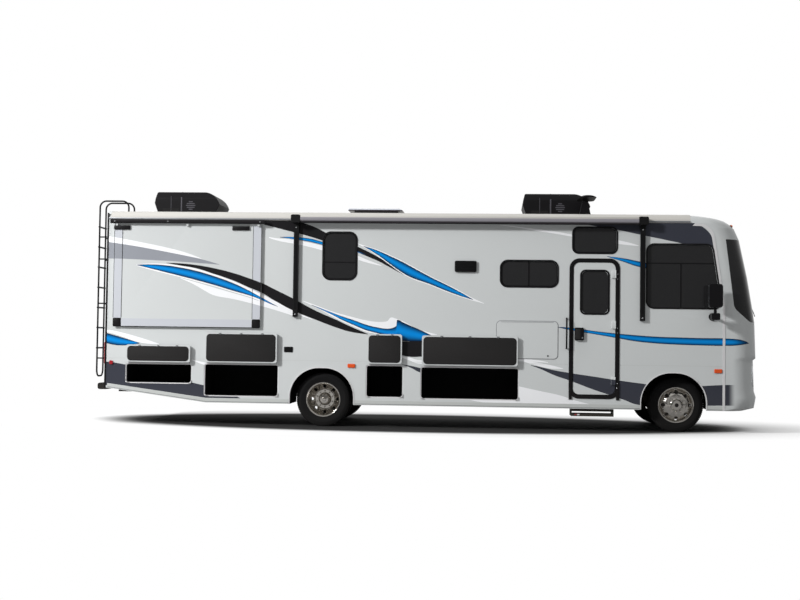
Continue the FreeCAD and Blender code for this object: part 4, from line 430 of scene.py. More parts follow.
def finish(name, colour, roughness, metallic=0.0, coat=0.0, coat_roughness=0.08, **wear):
    shader = Shader(name)
    shader.put(Metallic=metallic, Coat_Weight=coat, Coat_Roughness=coat_roughness)
    shader.put(Specular_IOR_Level=GLOSS_SPECULAR if coat or metallic else MATT_SPECULAR)
    return finish_shader(shader, colour, roughness, **wear).material


def banded(name, axis, colour, bands, roughness, coat=0.0):
    """A finish that turns to another colour past each of some places on an axis."""
    shader = Shader(name)
    shader.put(Coat_Weight=coat)
    place = shader.add("SeparateXYZ", Vector=shader.add("TexCoord").outputs["Object"])
    for start, other in bands:
        past = ramp(shader.tree, place.outputs[axis], start, start + BAND_EDGE)
        colour = blend_colours(shader.tree, past, colour, other)
    return finish_shader(shader, colour, roughness, dust=0.1).material


def striped_paint(name, sides_only=True, black_past=None, folded_at=None, base=PALE_GREY):
    """Coach paint with the livery. Fittings beyond a reach and above a height are black, and a door
    that stands open takes its stripes from where it lies when shut, mirrored in its hinge's height, on
    its outer face alone."""
    shader = Shader(name)
    shader.put(Coat_Weight=0.12, Coat_Roughness=0.1, Specular_IOR_Level=0.12)
    tree = shader.tree
    coordinates = shader.add("TexCoord")
    place = shader.add("SeparateXYZ", Vector=coordinates.outputs["Object"])
    facing = shader.add("SeparateXYZ", Vector=coordinates.outputs["Normal"])
    height = place.outputs["Z"]
    if folded_at is not None:
        height = maths(tree, "SUBTRACT", 2 * folded_at, height)
    group = tree.nodes.new("ShaderNodeGroup")
    group.node_tree = livery
    group.inputs["Base"].default_value = base
    shader.join(place.outputs["X"], group.inputs["Place along"])
    shader.join(height, group.inputs["Height"])
    colour = group.outputs["Colour"]
    if sides_only:
        turned_out = facing.outputs["Y"]
        if folded_at is None:
            turned_out = maths(tree, "ABSOLUTE", turned_out)
        sideways = maths(tree, "GREATER_THAN", turned_out, SIDEWAYS)
        colour = blend_colours(tree, sideways, base, colour)
    if black_past:
        reach, above = black_past
        out = maths(tree, "GREATER_THAN", maths(tree, "ABSOLUTE", place.outputs["Y"]), reach)
        high = maths(tree, "GREATER_THAN", place.outputs["Z"], above)
        colour = blend_colours(tree, maths(tree, "MULTIPLY", out, high), colour, FITTING_BLACK)
    return finish_shader(shader, colour, 0.35, dust_top=0.7, **PAINT_WEAR).material


def tinted_glass(name, colour, clearness, roughness=0.03):
    shader = Shader(name)
    shader.put(Transmission_Weight=clearness, IOR=1.45, Coat_Weight=0.3)
    return finish_shader(shader, colour, roughness, wear=0.05, dust=0.05, grain=0.05, depth=0.00004).material


def woven_cloth(name, colour):
    """Seat cloth with a fine over-and-under weave."""
    shader = Shader(name)
    shader.put(Sheen_Weight=0.3)
    place = shader.add("TexCoord").outputs["Object"]
    across = shader.add("TexWave", {"bands_direction": "DIAGONAL"}, Vector=place, Scale=260.0, Distortion=0.6)
    shade = maths(shader.tree, "MULTIPLY_ADD", across.outputs["Fac"], 0.25, 0.85)
    cloth = shader.add("VectorMath", {"operation": "SCALE"}, _0=colour[:3], Scale=shade)
    return finish_shader(shader, cloth.outputs[0], 0.85, grain=0.002, depth=0.0006).material


AMBER_FROM = TAIL + 1.0
# The awning roll's finish is dark along its underside, a painted shade, then grey, then pale like the roof along its
# top.
ROLL_PAINTED_SHADE_TOP, ROLL_PALE_HIGH = 3.094, 3.146
# Above this height the roof vent's lid is painted pale bluish, a painted reflection of the sky.
LID_RIM_HIGH = 3.384
TOPPER_REACH, KERB_TOPPER_LOW, ROAD_TOPPER_LOW = 1.306, 3.042, 2.972

coach_paint = striped_paint("coach_paint")
tail_paint = striped_paint("tail_paint", sides_only=False)
plain_paint = finish("plain_paint", PALE_GREY, 0.35, coat=0.12, **PAINT_WEAR)
edge_paint = finish("edge_paint", tone(206, 205, 206), 0.4, coat=0.2, wear=0.04, dust=0.2)
skirt_paint = finish("skirt_paint", tone(186, 189, 187), 0.4, coat=0.2, wear=0.03, dust=0.35, dust_top=0.6)
roof_paint = finish("roof_paint", tone(192, 190, 185), 0.45, wear=0.05, dust=0.0, grain=0.03)
gutter_grey = finish("gutter_grey", tone(128, 130, 134), 0.4, metallic=0.2)
trim_black = finish("trim_black", tone(17, 16, 18), 0.45, dust=0.08, grain=0.004, depth=0.0002)
bin_black = finish("bin_black", tone(13, 13, 14), 0.85, grain=0.004, depth=0.0008, dust=0.1)
panel_black = finish("panel_black", tone(37, 36, 36), 0.75, grain=0.02, depth=0.0006, wear=0.2, dust=0.1)
frame_paint = finish("frame_paint", tone(20, 20, 21), 0.45, dust=0.35)
zinc_sheet = finish("zinc_sheet", tone(120, 123, 126), 0.45, metallic=0.7, dust=0.4)
bright_metal = finish("bright_metal", tone(186, 188, 190), 0.25, metallic=0.9, wear=0.04)
deck_board = finish("deck_board", tone(60, 52, 44), 0.7)
cast_iron = finish("cast_iron", tone(44, 42, 40), 0.65, metallic=0.4, dust=0.5)
chrome = finish("chrome", tone(196, 192, 186), 0.1, metallic=1.0, wear=0.05, dust=0.08, grain=0.03, depth=0.00006)
tyre_rubber = finish("tyre_rubber", tone(15, 15, 16), 0.8, dust=0.03, grain=0.003, depth=0.0003)
red_lens = finish("red_lens", tone(150, 14, 16), 0.15, coat=1.0, grain=0.006, depth=0.0003)
side_lens = banded("side_lens", "X", tone(150, 12, 24), [(AMBER_FROM, tone(214, 76, 8))], 0.2, coat=0.6)
seat_cloth = woven_cloth("seat_cloth", tone(72, 66, 60))
# Painted shade: the roll's cloth is dark along its underside, below the first height.
awning_cloth = banded("awning_cloth", "Z", tone(58, 54, 58),
                      [(ROLL_PAINTED_SHADE_TOP, tone(132, 130, 136)), (ROLL_PALE_HIGH, tone(192, 190, 185))], 0.8)
clear_lens = tinted_glass("clear_lens", tone(214, 219, 224), 0.85)
dark_glass = tinted_glass("dark_glass", tone(38, 38, 39), 0.1)
# The roof vent's lid is dark smoke along its lower part and pale bluish along its top, a painted reflection of the
# sky.
smoked_lid_painted_reflection = banded("smoked_lid_painted_reflection", "Z", tone(40, 32, 42), [(LID_RIM_HIGH, tone(206, 210, 220))], 0.3, coat=0.5)
mirror_glass = finish("mirror_glass", tone(196, 202, 208), 0.02, metallic=1.0, wear=0.01, dust=0.05)

HINGED_HIGH = {word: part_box(f"kerb_{word}_bay_door")[0].z for word in ("tail", "aft", "mid", "long")}
LEAF_LIFT = 0.0073
PAINTED = {
    "kerb_wall": coach_paint, "road_wall": coach_paint, "front_cap": coach_paint, "rear_cap": tail_paint,
    "entry_door": coach_paint, "service_hatch": coach_paint,
    "kerb_room": striped_paint("kerb_room_paint", black_past=(TOPPER_REACH, KERB_TOPPER_LOW)),
    "road_room": striped_paint("road_room_paint", black_past=(TOPPER_REACH, ROAD_TOPPER_LOW)),
    "bay_frames": edge_paint, "bay_bins": bin_black, "marker_lamps": side_lens, "roof_vent": smoked_lid_painted_reflection,
    "entry_frame": trim_black, "entry_step": frame_paint, "wheel_wells": bin_black}
for side_word in SIDES:
    for door_word, low_edge in HINGED_HIGH.items():
        door_name = f"{side_word}_{door_word}_bay_door"
        if door_name in nodes:
            fold = low_edge - LEAF_LIFT if side_word == "kerb" else None
            PAINTED[door_name] = striped_paint(door_name + "_paint", folded_at=fold)
SLOT_FINISH = {
    "body_skin": plain_paint, "roof_skin": roof_paint, "dark_glass": dark_glass, "black_trim": trim_black,
    "galvanised": zinc_sheet, "bright_trim": bright_metal, "deck": deck_board, "frame_black": frame_paint,
    "cast": cast_iron, "red_lens": red_lens, "amber_lens": side_lens, "clear_lens": clear_lens,
    "seat_fabric": seat_cloth, "tyre": tyre_rubber, "wheel_chrome": chrome}


def finish_of(name):
    return PAINTED.get(name, SLOT_FINISH[slots[name]])


def dress_nodes():
    for name in slots:
        for holder in nodes[name].material_slots:
            holder.material = finish_of(name)


dress_nodes()


# Ways to make a piece


def finish_piece(name, bm, material, body="coach", sharp=35, outward=True, replaced=()):
    """Turns a bmesh into a finished piece that rides on a body."""
    if outward:
        bmesh.ops.recalc_face_normals(bm, faces=bm.faces)
    mesh = bpy.data.meshes.new(name)
    bm.to_mesh(mesh)
    bm.free()
    mesh.materials.append(material)
    mesh.shade_smooth()
    mesh.set_sharp_from_angle(angle=math.radians(sharp))
    piece = bpy.data.objects.new(name, mesh)
    bpy.context.scene.collection.objects.link(piece)
    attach(piece, body)
    if replaced:
        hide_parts(*replaced)
    return piece


SAME_SPOT, SAME_POLE = 1e-5, 1e-6
FLAT_DEGREES = 0.5


def soften(name, width, angle=38):
    """A CAD node's own shape with its loose triangles joined, its edges rounded and its curves smooth."""
    source = nodes[name]
    bm = bmesh.new()
    bm.from_mesh(source.data)
    bmesh.ops.remove_doubles(bm, verts=bm.verts, dist=SAME_SPOT)
    bmesh.ops.dissolve_limit(bm, angle_limit=math.radians(FLAT_DEGREES), verts=bm.verts, edges=bm.edges)
    piece = finish_piece(f"{name}_rounded", bm, finish_of(name), body_of(source)[0], sharp=angle, outward=False,
                         replaced=(name,))
    if width:
        rounding = piece.modifiers.new("edges", "BEVEL")
        rounding.width = width
        rounding.segments = 2
        rounding.limit_method = "ANGLE"
        rounding.angle_limit = math.radians(angle)
        rounding.harden_normals = True


def flat_face(bm, corners, radius=0.0, segments=6):
    """A flat face through corners, each rounded by the same radius."""
    verts = [bm.verts.new(corner) for corner in corners]
    face = bm.faces.new(verts)
    if radius:
        made = bmesh.ops.bevel(bm, geom=verts, offset=radius, segments=segments, profile=0.5, affect="VERTICES",
                               material=-1, clamp_overlap=True)
        face = made["verts"][0].link_faces[0]
    return face


RIM_ANGLE = 1.0


def thicken(bm, faces, way, edge=0.0):
    """Draws faces out along a vector, closed all round, with the rim of the far side rounded."""
    made = bmesh.ops.extrude_face_region(bm, geom=list(faces), use_keep_orig=True)
    verts = [item for item in made["geom"] if isinstance(item, bmesh.types.BMVert)]
    bmesh.ops.translate(bm, verts=verts, vec=way)
    if edge:
        far = set(verts)
        rim = [e for e in bm.edges if e.verts[0] in far and e.verts[1] in far and len(e.link_faces) == 2
               and e.calc_face_angle(0) > RIM_ANGLE]
        bmesh.ops.bevel(bm, geom=rim, offset=edge, segments=2, profile=0.5, affect="EDGES", material=-1,
                        clamp_overlap=True)


def side_corners(rear, front, low, top, y):
    return [(rear, y, low), (front, y, low), (front, y, top), (rear, y, top)]


def end_corners(right, left, low, top, x):
    return [(x, right, low), (x, left, low), (x, left, top), (x, right, top)]


def side_plate(bm, limits, side, near, thick, radius=0.0, edge=0.0):
    """A plate that lies on a side wall: its rear, front, low and top, and how far out it starts."""
    face = flat_face(bm, side_corners(*limits, side * near), radius)
    thicken(bm, [face], (0, side * thick, 0), edge)


def inset_ring(bm, face, wide):
    """Turns a face into the ring of faces along its edge."""
    ring = bmesh.ops.inset_region(bm, faces=[face], thickness=wide, use_boundary=True,
                                  use_even_offset=True)["faces"]
    bmesh.ops.delete(bm, geom=[face], context="FACES_ONLY")
    return ring


def side_ring(bm, limits, side, near, thick, radius, wide, edge=0.0):
    """A frame that lies on a side wall, its outer limits and corner given."""
    face = flat_face(bm, side_corners(*limits, side * near), radius)
    thicken(bm, inset_ring(bm, face, wide), (0, side * thick, 0), edge)


def outline_plate(bm, outline, side, near, thick):
    """A plate on a side wall through any outline of places along the coach and heights."""
    face = bm.faces.new([bm.verts.new((x, side * near, z)) for x, z in outline])
    thicken(bm, [face], (0, side * thick, 0))


def rod(bm, start, end, radius, sides=16):
    start, end = Vector(start), Vector(end)
    way = end - start
    turn = Vector((0, 0, 1)).rotation_difference(way).to_matrix().to_4x4()
    bmesh.ops.create_cone(bm, cap_ends=True, segments=sides, radius1=radius, radius2=radius, depth=way.length,
                          matrix=Matrix.Translation((start + end) / 2) @ turn)


def ball(bm, centre, radius, flat=1.0, rings=8):
    """A round knob, flattened along the coach's width."""
    bmesh.ops.create_uvsphere(bm, u_segments=rings * 2, v_segments=rings, radius=radius,
                              matrix=Matrix.Translation(centre) @ Matrix.Diagonal((1, flat, 1, 1)))


def turned(bm, profile, x, side, base=0.0, steps=64):
    """A profile of reaches past a base and radii, spun about a wheel's axle."""
    verts = [bm.verts.new((x, side * (base + reach), WHEEL_Z + radius)) for reach, radius in profile]
    edges = [bm.edges.new(pair) for pair in zip(verts, verts[1:])]
    bmesh.ops.spin(bm, geom=verts + edges, cent=(x, 0, WHEEL_Z), axis=(0, 1, 0), dvec=(0, 0, 0), angle=FULL_TURN,
                   steps=steps, use_merge=True)
    bmesh.ops.remove_doubles(bm, verts=bm.verts, dist=SAME_POLE)


def tube_curve(name, points, radius, material, body="coach"):
    """A bent tube along a smooth line."""
    curve = bpy.data.curves.new(name, "CURVE")
    curve.dimensions = "3D"
    curve.bevel_depth = radius
    curve.bevel_resolution = 3
    curve.use_fill_caps = True
    spline = curve.splines.new("NURBS")
    spline.points.add(len(points) - 1)
    for point, place in zip(spline.points, points):
        point.co = (*place, 1)
    spline.order_u = 3
    spline.use_endpoint_u = True
    curve.materials.append(material)
    piece = bpy.data.objects.new(name, curve)
    bpy.context.scene.collection.objects.link(piece)
    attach(piece, body)


def skin_spot(node, start, way):
    """Where a line meets a node's skin, and the way that the skin faces there."""
    mesh = nodes[node].data
    skin = BVHTree.FromPolygons([v.co for v in mesh.vertices], [tuple(p.vertices) for p in mesh.polygons])
    spot, normal, _, _ = skin.ray_cast(Vector(start), Vector(way))
    if spot is None:
        raise SystemExit(f"no skin of {node} at {tuple(start)}")
    return spot, normal


# Rounded CAD forms

ROUNDED = {
    "mirrors": 0.018, "air_conditioners": 0.008, "roof_vent": 0.006, "tv_antenna": 0.006, "awning": 0.006,
    "entry_frame": 0.004, "entry_door": 0.003, "window_frames": 0.003, "side_vents": 0.004, "service_hatch": 0.003,
    "rear_bumper": 0.003, "tail_lamps": 0.004, "marker_lamps": 0.011, "entry_step": 0.003, "grille": 0.003,
    "dashboard": 0.01, "kerb_room": 0.002, "road_room": 0.002, "front_cap": 0.0, "windshield": 0.0, "roof": 0.0,
    "rear_cap": 0.002, "ladder": 0.0, "headlamps": 0.0, "front_rim_left": 0.0, "front_rim_right": 0.0,
    "rear_rims_left": 0.0, "rear_rims_right": 0.0, "steering_wheel": 0.0, "cab_bases": 0.004}
for node_name, rounding_width in ROUNDED.items():
    soften(node_name, rounding_width)
for node_name in [name for name in nodes if name.endswith("bay_door")]:
    soften(node_name, 0.002)


# Wheels

WHEEL_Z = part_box("front_tyre_right")[1].z / 2
TYRE_RADIUS = WHEEL_Z
TYRE_HALF = (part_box("front_tyre_right")[1].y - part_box("front_tyre_right")[0].y) / 2
SEAT_RADIUS = 0.247
SEAT_HALF = 0.085
TREAD_DEPTH = 0.009
TREAD_STEPS = 84
BLOCK_GAP = 0.002
RIBS = ((-0.090, -0.056), (-0.048, -0.020), (-0.013, 0.013), (0.020, 0.048), (0.056, 0.090))


def tyre_form(bm, x, centre):
    """A truck tyre with bulged walls, a raised rim guard and five ribs cut into blocks."""
    road = TYRE_RADIUS - TREAD_DEPTH
    wall = [(SEAT_HALF - 0.012, SEAT_RADIUS), (SEAT_HALF + 0.004, SEAT_RADIUS + 0.003), (0.098, SEAT_RADIUS + 0.016),
            (0.104, SEAT_RADIUS + 0.022), (0.1035, SEAT_RADIUS + 0.03), (0.1095, 0.300), (TYRE_HALF, 0.318),
            (TYRE_HALF - 0.0008, 0.333), (TYRE_HALF, 0.335), (0.1105, 0.352), (0.1065, 0.368), (0.1035, 0.376),
            (0.1, 0.386), (0.094, road)]
    ribs = [(y, road) for rib in RIBS for y in rib]
    profile = [(-y, r) for y, r in wall[:-1]] + [(-wall[-1][0], road)] + ribs + [(y, r) for y, r in reversed(wall)]
    loop = [(centre + y, r) for y, r in profile]
    verts = [bm.verts.new((x, y, WHEEL_Z + r)) for y, r in loop]
    edges = [bm.edges.new(pair) for pair in zip(verts, verts[1:] + verts[:1])]
    bmesh.ops.spin(bm, geom=verts + edges, cent=(x, 0, WHEEL_Z), axis=(0, 1, 0), dvec=(0, 0, 0), angle=FULL_TURN,
                   steps=TREAD_STEPS, use_merge=True)


def raise_blocks(bm, x, centre):
    """Lifts each rib's faces into separate tread blocks."""
    bmesh.ops.recalc_face_normals(bm, faces=bm.faces)
    blocks = []
    for face in bm.faces:
        spot = face.calc_center_median()
        across = spot.y - centre
        far = math.hypot(spot.x - x, spot.z - WHEEL_Z)
        if far > TYRE_RADIUS - TREAD_DEPTH * 1.5 and any(low < across < high for low, high in RIBS):
            blocks.append(face)
    bmesh.ops.inset_individual(bm, faces=blocks, thickness=BLOCK_GAP, depth=0.0, use_even_offset=True)
    made = bmesh.ops.extrude_discrete_faces(bm, faces=blocks)["faces"]
    for face in made:
        spot = face.calc_center_median()
        out = Vector((spot.x - x, 0, spot.z - WHEEL_Z)).normalized()
        bmesh.ops.translate(bm, verts=list(face.verts), vec=out * (TREAD_DEPTH - HAIR))


def dress_tyres(name, x, centres, body):
    bm = bmesh.new()
    for centre in centres:
        part = bmesh.new()
        tyre_form(part, x, centre)
        raise_blocks(part, x, centre)
        mesh = bpy.data.meshes.new("tyre_part")
        part.to_mesh(mesh)
        part.free()
        bm.from_mesh(mesh)
        bpy.data.meshes.remove(mesh)
    finish_piece(name, bm, tyre_rubber, body, sharp=30, replaced=(name.replace("treaded_", ""),))


NUT_RING, NUT_COUNT, NUT_RADIUS, NUT_TALL = 0.122, 10, 0.0145, 0.02
DOME_SHARE, DOME_FLAT = 0.86, 0.7
WASHER_SHARE, WASHER_TALL = 1.5, 0.004
DISC_DEPTH, REAR_DISC = 0.036, 0.933
FRONT_NUT_FOOT, REAR_NUT_FOOT = 0.001, 0.016

# A wheel's turned forms, each a line of reaches and radii.
FRONT_LIP = ((1.078, 0.268), (1.092, 0.270), (1.099, 0.263), (1.096, 0.252), (1.084, 0.246), (1.07, 0.252),
             (1.078, 0.268))
HUB_CAP = ((0.001, 0.0), (0.001, 0.096), (0.008, 0.098), (0.012, 0.09), (0.03, 0.074), (0.035, 0.055),
           (0.034, 0.038), (0.0352, 0.0))
HUB_MARK = ((0.0352, 0.031), (0.0362, 0.029), (0.0362, 0.0))
REAR_LIP = ((1.158, 0.262), (1.166, 0.265), (1.1665, 0.258), (1.164, 0.25), (1.156, 0.2485), (1.154, 0.256),
            (1.158, 0.262))
CONE_CAP = ((0.0, 0.0), (0.0, 0.148), (0.01, 0.15), (0.016, 0.144), (0.016, 0.1), (0.03, 0.092), (0.075, 0.082),
            (0.11, 0.072), (0.122, 0.06), (0.124, 0.03), (0.132, 0.026), (0.134, 0.0))
DRUM = ((0.0, 0.1), (0.0, 0.205), (-0.012, 0.212), (-0.09, 0.212), (-0.1, 0.205), (-0.1, 0.1), (0.0, 0.1))

# A valve's two ends, each ahead of the axle, out from the middle and up.
VALVE_RADIUS = 0.005
FRONT_VALVE = ((0.232, 1.085, 0), (0.222, 1.115, 0))
REAR_VALVE = ((0.06, 0.95, -0.21), (0.07, 1.13, -0.228))


def nuts(bm, x, face, side):
    """A ring of hexagon nuts with domed tops, on a wheel's outer face."""
    for index in range(NUT_COUNT):
        angle = FULL_TURN * (index + 0.5) / NUT_COUNT
        spot = Vector((x + NUT_RING * math.cos(angle), side * face, WHEEL_Z + NUT_RING * math.sin(angle)))
        top = spot + Vector((0, side * NUT_TALL, 0))
        rod(bm, spot, top, NUT_RADIUS, sides=6)
        ball(bm, top, NUT_RADIUS * DOME_SHARE, flat=DOME_FLAT, rings=5)
        rod(bm, spot, spot + Vector((0, side * WASHER_TALL, 0)), NUT_RADIUS * WASHER_SHARE, sides=16)


def valve(bm, x, side, ends):
    foot, tip = [(x + ahead, side * out, WHEEL_Z + up) for ahead, out, up in ends]
    rod(bm, foot, tip, VALVE_RADIUS, sides=10)


def front_cover(name, x, side, body):
    """A chrome cover ring, nuts and a hub cap with a dark middle, on the outward disc of a front wheel."""
    disc = -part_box("front_rim_right")[0].y - DISC_DEPTH
    bm = bmesh.new()
    turned(bm, FRONT_LIP, x, side)
    turned(bm, HUB_CAP, x, side, disc)
    nuts(bm, x, disc + FRONT_NUT_FOOT, side)
    valve(bm, x, side, FRONT_VALVE)
    finish_piece(name, bm, chrome, body, sharp=30)
    bm = bmesh.new()
    turned(bm, HUB_MARK, x, side, disc, steps=32)
    finish_piece(name + "_hub_mark", bm, trim_black, body)


def rear_cover(name, x, side, body):
    """A bright lip, a nut ring, a flange and a cone cap deep inside a rear wheel."""
    bm = bmesh.new()
    turned(bm, REAR_LIP, x, side)
    turned(bm, CONE_CAP, x, side, REAR_DISC)
    nuts(bm, x, REAR_DISC + REAR_NUT_FOOT, side)
    valve(bm, x, side, REAR_VALVE)
    finish_piece(name, bm, chrome, body, sharp=30)


def brake_drum(name, x, side, reach, body):
    """The dark drum behind a wheel's hand holes."""
    bm = bmesh.new()
    turned(bm, DRUM, x, side, reach, steps=48)
    finish_piece(name, bm, cast_iron, body, sharp=30)


FRONT_X = (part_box("front_tyre_right")[0].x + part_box("front_tyre_right")[1].x) / 2
REAR_X = (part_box("rear_tyres_right")[0].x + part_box("rear_tyres_right")[1].x) / 2
FRONT_REACH = 0.99
REAR_REACHES = (1.072, 0.792)
FRONT_DRUM_REACH = 1.06
for side_word, side in (("right", KERB), ("left", ROAD)):
    front_body, rear_body = f"front_wheel_{side_word}", f"rear_wheels_{side_word}"
    dress_tyres(f"treaded_front_tyre_{side_word}", FRONT_X, [side * FRONT_REACH], front_body)
    dress_tyres(f"treaded_rear_tyres_{side_word}", REAR_X, [side * reach for reach in REAR_REACHES], rear_body)
    front_cover(f"front_cover_{side_word}", FRONT_X, side, front_body)
    rear_cover(f"rear_cover_{side_word}", REAR_X, side, rear_body)
    brake_drum(f"front_drum_{side_word}", FRONT_X, side, FRONT_DRUM_REACH, front_body)


# Body trim

ARCH_TOP, ARCH_ROUND = 0.88, 0.44
ARCHES = {"rear": (TAIL + 2.854, TAIL + 3.817), "front": (TAIL + 8.097, TAIL + 9.048)}
LIP_WIDE, LIP_PROUD, LIP_EDGE = 0.014, 0.006, 0.002
RISE_X, TAIL_LOW = TAIL + 1.573, 0.536
SKIRT_START, SKIRT_GAP, SKIRT_TALL = TAIL + 0.045, 0.02, 0.07
SKIRT_LINE_LIFT, SKIRT_LINE_WIDE = 0.012, 0.008
SEAM_LINE = ((TAIL + 8.87, GUTTER - 0.004), (TAIL + 9.13, GUTTER - 0.012), (TAIL + 9.318, 1.87),
             (TAIL + 9.318, SILL))
SEAM_WIDE, SEAM_PROUD, SEAM_OUTER_ROUND, SEAM_INNER_ROUND = 0.036, 0.005, 0.19, 0.16
TUCK = 0.001
RAIL_LIMITS = (TAIL + 0.02, TAIL + 8.8, GUTTER + 0.008, GUTTER + 0.03)
RAIL_THICK, RAIL_EDGE = 0.013, 0.003
WALL_ENDS, DOORWAY, MOULDING = (TAIL + 0.05, TAIL + 9.28), (TAIL + 7.03, TAIL + 7.775), (0.988, 0.993)
STRIP_FRONT, STRIP_INNER, STRIP_TOP = TAIL + 0.024, HALF_WIDE - 0.03, GUTTER + 0.1
STRIP_THICK, STRIP_LAP, STRIP_EDGE = 0.004, 0.002, 0.002


def arch_lips(word, side):
    """A rolled lip round each wheel arch."""
    bm = bmesh.new()
    for rear, front in ARCHES.values():
        corners = side_corners(rear - LIP_WIDE, front + LIP_WIDE, SILL, ARCH_TOP + LIP_WIDE, side * HALF_WIDE)
        verts = [bm.verts.new(corner) for corner in corners]
        bm.faces.new(verts)
        made = bmesh.ops.bevel(bm, geom=verts[2:], offset=ARCH_ROUND + LIP_WIDE, segments=14, profile=0.5,
                               affect="VERTICES", material=-1, clamp_overlap=True)
        ring = inset_ring(bm, made["verts"][0].link_faces[0], LIP_WIDE)
        foot = [f for f in ring if all(abs(v.co.z - SILL) < LIP_WIDE * 1.5 for v in f.verts)]
        bmesh.ops.delete(bm, geom=foot, context="FACES_ONLY")
        thicken(bm, [f for f in ring if f.is_valid], (0, side * LIP_PROUD, 0), edge=LIP_EDGE)
    finish_piece(f"{word}_arch_lips", bm, edge_paint)


def skirt(word, side):
    """The sill's separate skirt strip, which follows the rise of the tail, and its thin grey line."""
    spans = [
        [(SKIRT_START, TAIL_LOW), (RISE_X, SILL), (ARCHES["rear"][0] - SKIRT_GAP, SILL)],
        [(ARCHES["rear"][1] + SKIRT_GAP, SILL), (ARCHES["front"][0] - SKIRT_GAP, SILL)],
        [(ARCHES["front"][1] + SKIRT_GAP, SILL), (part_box("kerb_wall")[1].x - SKIRT_GAP, SILL)]]
    plate, line = bmesh.new(), bmesh.new()
    for low in spans:
        top = [(x, z + SKIRT_TALL) for x, z in reversed(low)]
        outline_plate(plate, low + top, side, HALF_WIDE, PROUD)
        strip = [(x, z + SKIRT_LINE_LIFT) for x, z in low]
        upper = [(x, z + SKIRT_LINE_WIDE) for x, z in reversed(strip)]
        outline_plate(line, strip + upper, side, HALF_WIDE + PROUD, HAIR)
    finish_piece(f"{word}_skirt", plate, skirt_paint)
    finish_piece(f"{word}_skirt_line", line, gutter_grey)


def seam_strip(word, side):
    """The light strip that covers the joint of wall and front cap, from gutter to sill."""
    bm = bmesh.new()
    outer = [bm.verts.new((x, side * HALF_WIDE, z)) for x, z in SEAM_LINE]
    inner = [bm.verts.new((x - SEAM_WIDE, side * HALF_WIDE, z - (SEAM_WIDE if index < 2 else 0)))
             for index, (x, z) in enumerate(SEAM_LINE)]
    bm.faces.new(outer + inner[::-1])
    for corner, reach in ((outer[1], SEAM_OUTER_ROUND), (inner[1], SEAM_INNER_ROUND)):
        bmesh.ops.bevel(bm, geom=[corner], offset=reach, segments=8, profile=0.5, affect="VERTICES", material=-1)
    thicken(bm, bm.faces, (0, side * SEAM_PROUD, 0))
    finish_piece(f"{word}_seam_strip", bm, edge_paint)


def gutters(word, side):
    """A drip rail under the roof's edge and the faint moulding line along the walls."""
    bm = bmesh.new()
    side_plate(bm, RAIL_LIMITS, side, HALF_WIDE - TUCK, RAIL_THICK, edge=RAIL_EDGE)
    finish_piece(f"{word}_gutter", bm, gutter_grey)
    bm = bmesh.new()
    spans = [WALL_ENDS] if side == ROAD else [(WALL_ENDS[0], DOORWAY[0]), (DOORWAY[1], WALL_ENDS[1])]
    for span in spans:
        side_plate(bm, (*span, *MOULDING), side, HALF_WIDE, HAIR)
    finish_piece(f"{word}_moulding_line", bm, skirt_paint)


def tail_edges():
    """The black strips down both edges of the rear wall, lapped over the side walls."""
    bm = bmesh.new()
    for side in (KERB, ROAD):
        side_plate(bm, (TAIL - STRIP_LAP, STRIP_FRONT, TAIL_LOW, STRIP_TOP), side, HALF_WIDE - TUCK, STRIP_THICK,
                   edge=STRIP_EDGE)
        face = flat_face(bm, end_corners(side * STRIP_INNER, side * (HALF_WIDE + STRIP_LAP), TAIL_LOW,
                                         STRIP_TOP, TAIL))
        thicken(bm, [face], (-STRIP_THICK, 0, 0))
    finish_piece("tail_edge_strips", bm, trim_black)


for side_word, side in SIDES.items():
    arch_lips(side_word, side)
    skirt(side_word, side)
    seam_strip(side_word, side)
    gutters(side_word, side)
tail_edges()


# Windows

ROOM_REACH = 1.304
PANE_REACH = HALF_WIDE - 0.0105
BEAD_WIDE, BEAD_THICK, BEAD_CLEAR, BAR_THICK = 0.008, 0.006, 0.001, 0.005
# Rear and front past the tail, low, top and corner radius.
WINDOWS = {"tall": (3.340, 3.829, 2.229, 2.923, 0.105), "wide": (6.018, 6.848, 2.148, 2.518, 0.095),
           "over_door": (7.087, 7.719, 2.660, 3.023, 0.075)}
TALL_RAIL, WIDE_POST = (2.474, 2.488), (TAIL + 6.416, TAIL + 6.434)
BED_FRONT = TAIL + 1.573
BED_REAR, BED_POST = BED_FRONT - 0.829, (BED_FRONT - 0.424, BED_FRONT - 0.406)
CAB_RAIL, CAB_POST = (TAIL + 8.18, TAIL + 9.165, 2.502, 2.516), (TAIL + 8.661, TAIL + 8.675, 1.853, 2.503)
FRAME_LAP, FRAME_WIDE, FRAME_THICK, FRAME_ROUND, FRAME_EDGE = 0.024, 0.026, 0.007, 0.1, 0.002
POST_HALF, POST_THICK, POST_SET_BACK, PANE_AT_LEAST = 0.009, 0.006, 0.01, 0.3


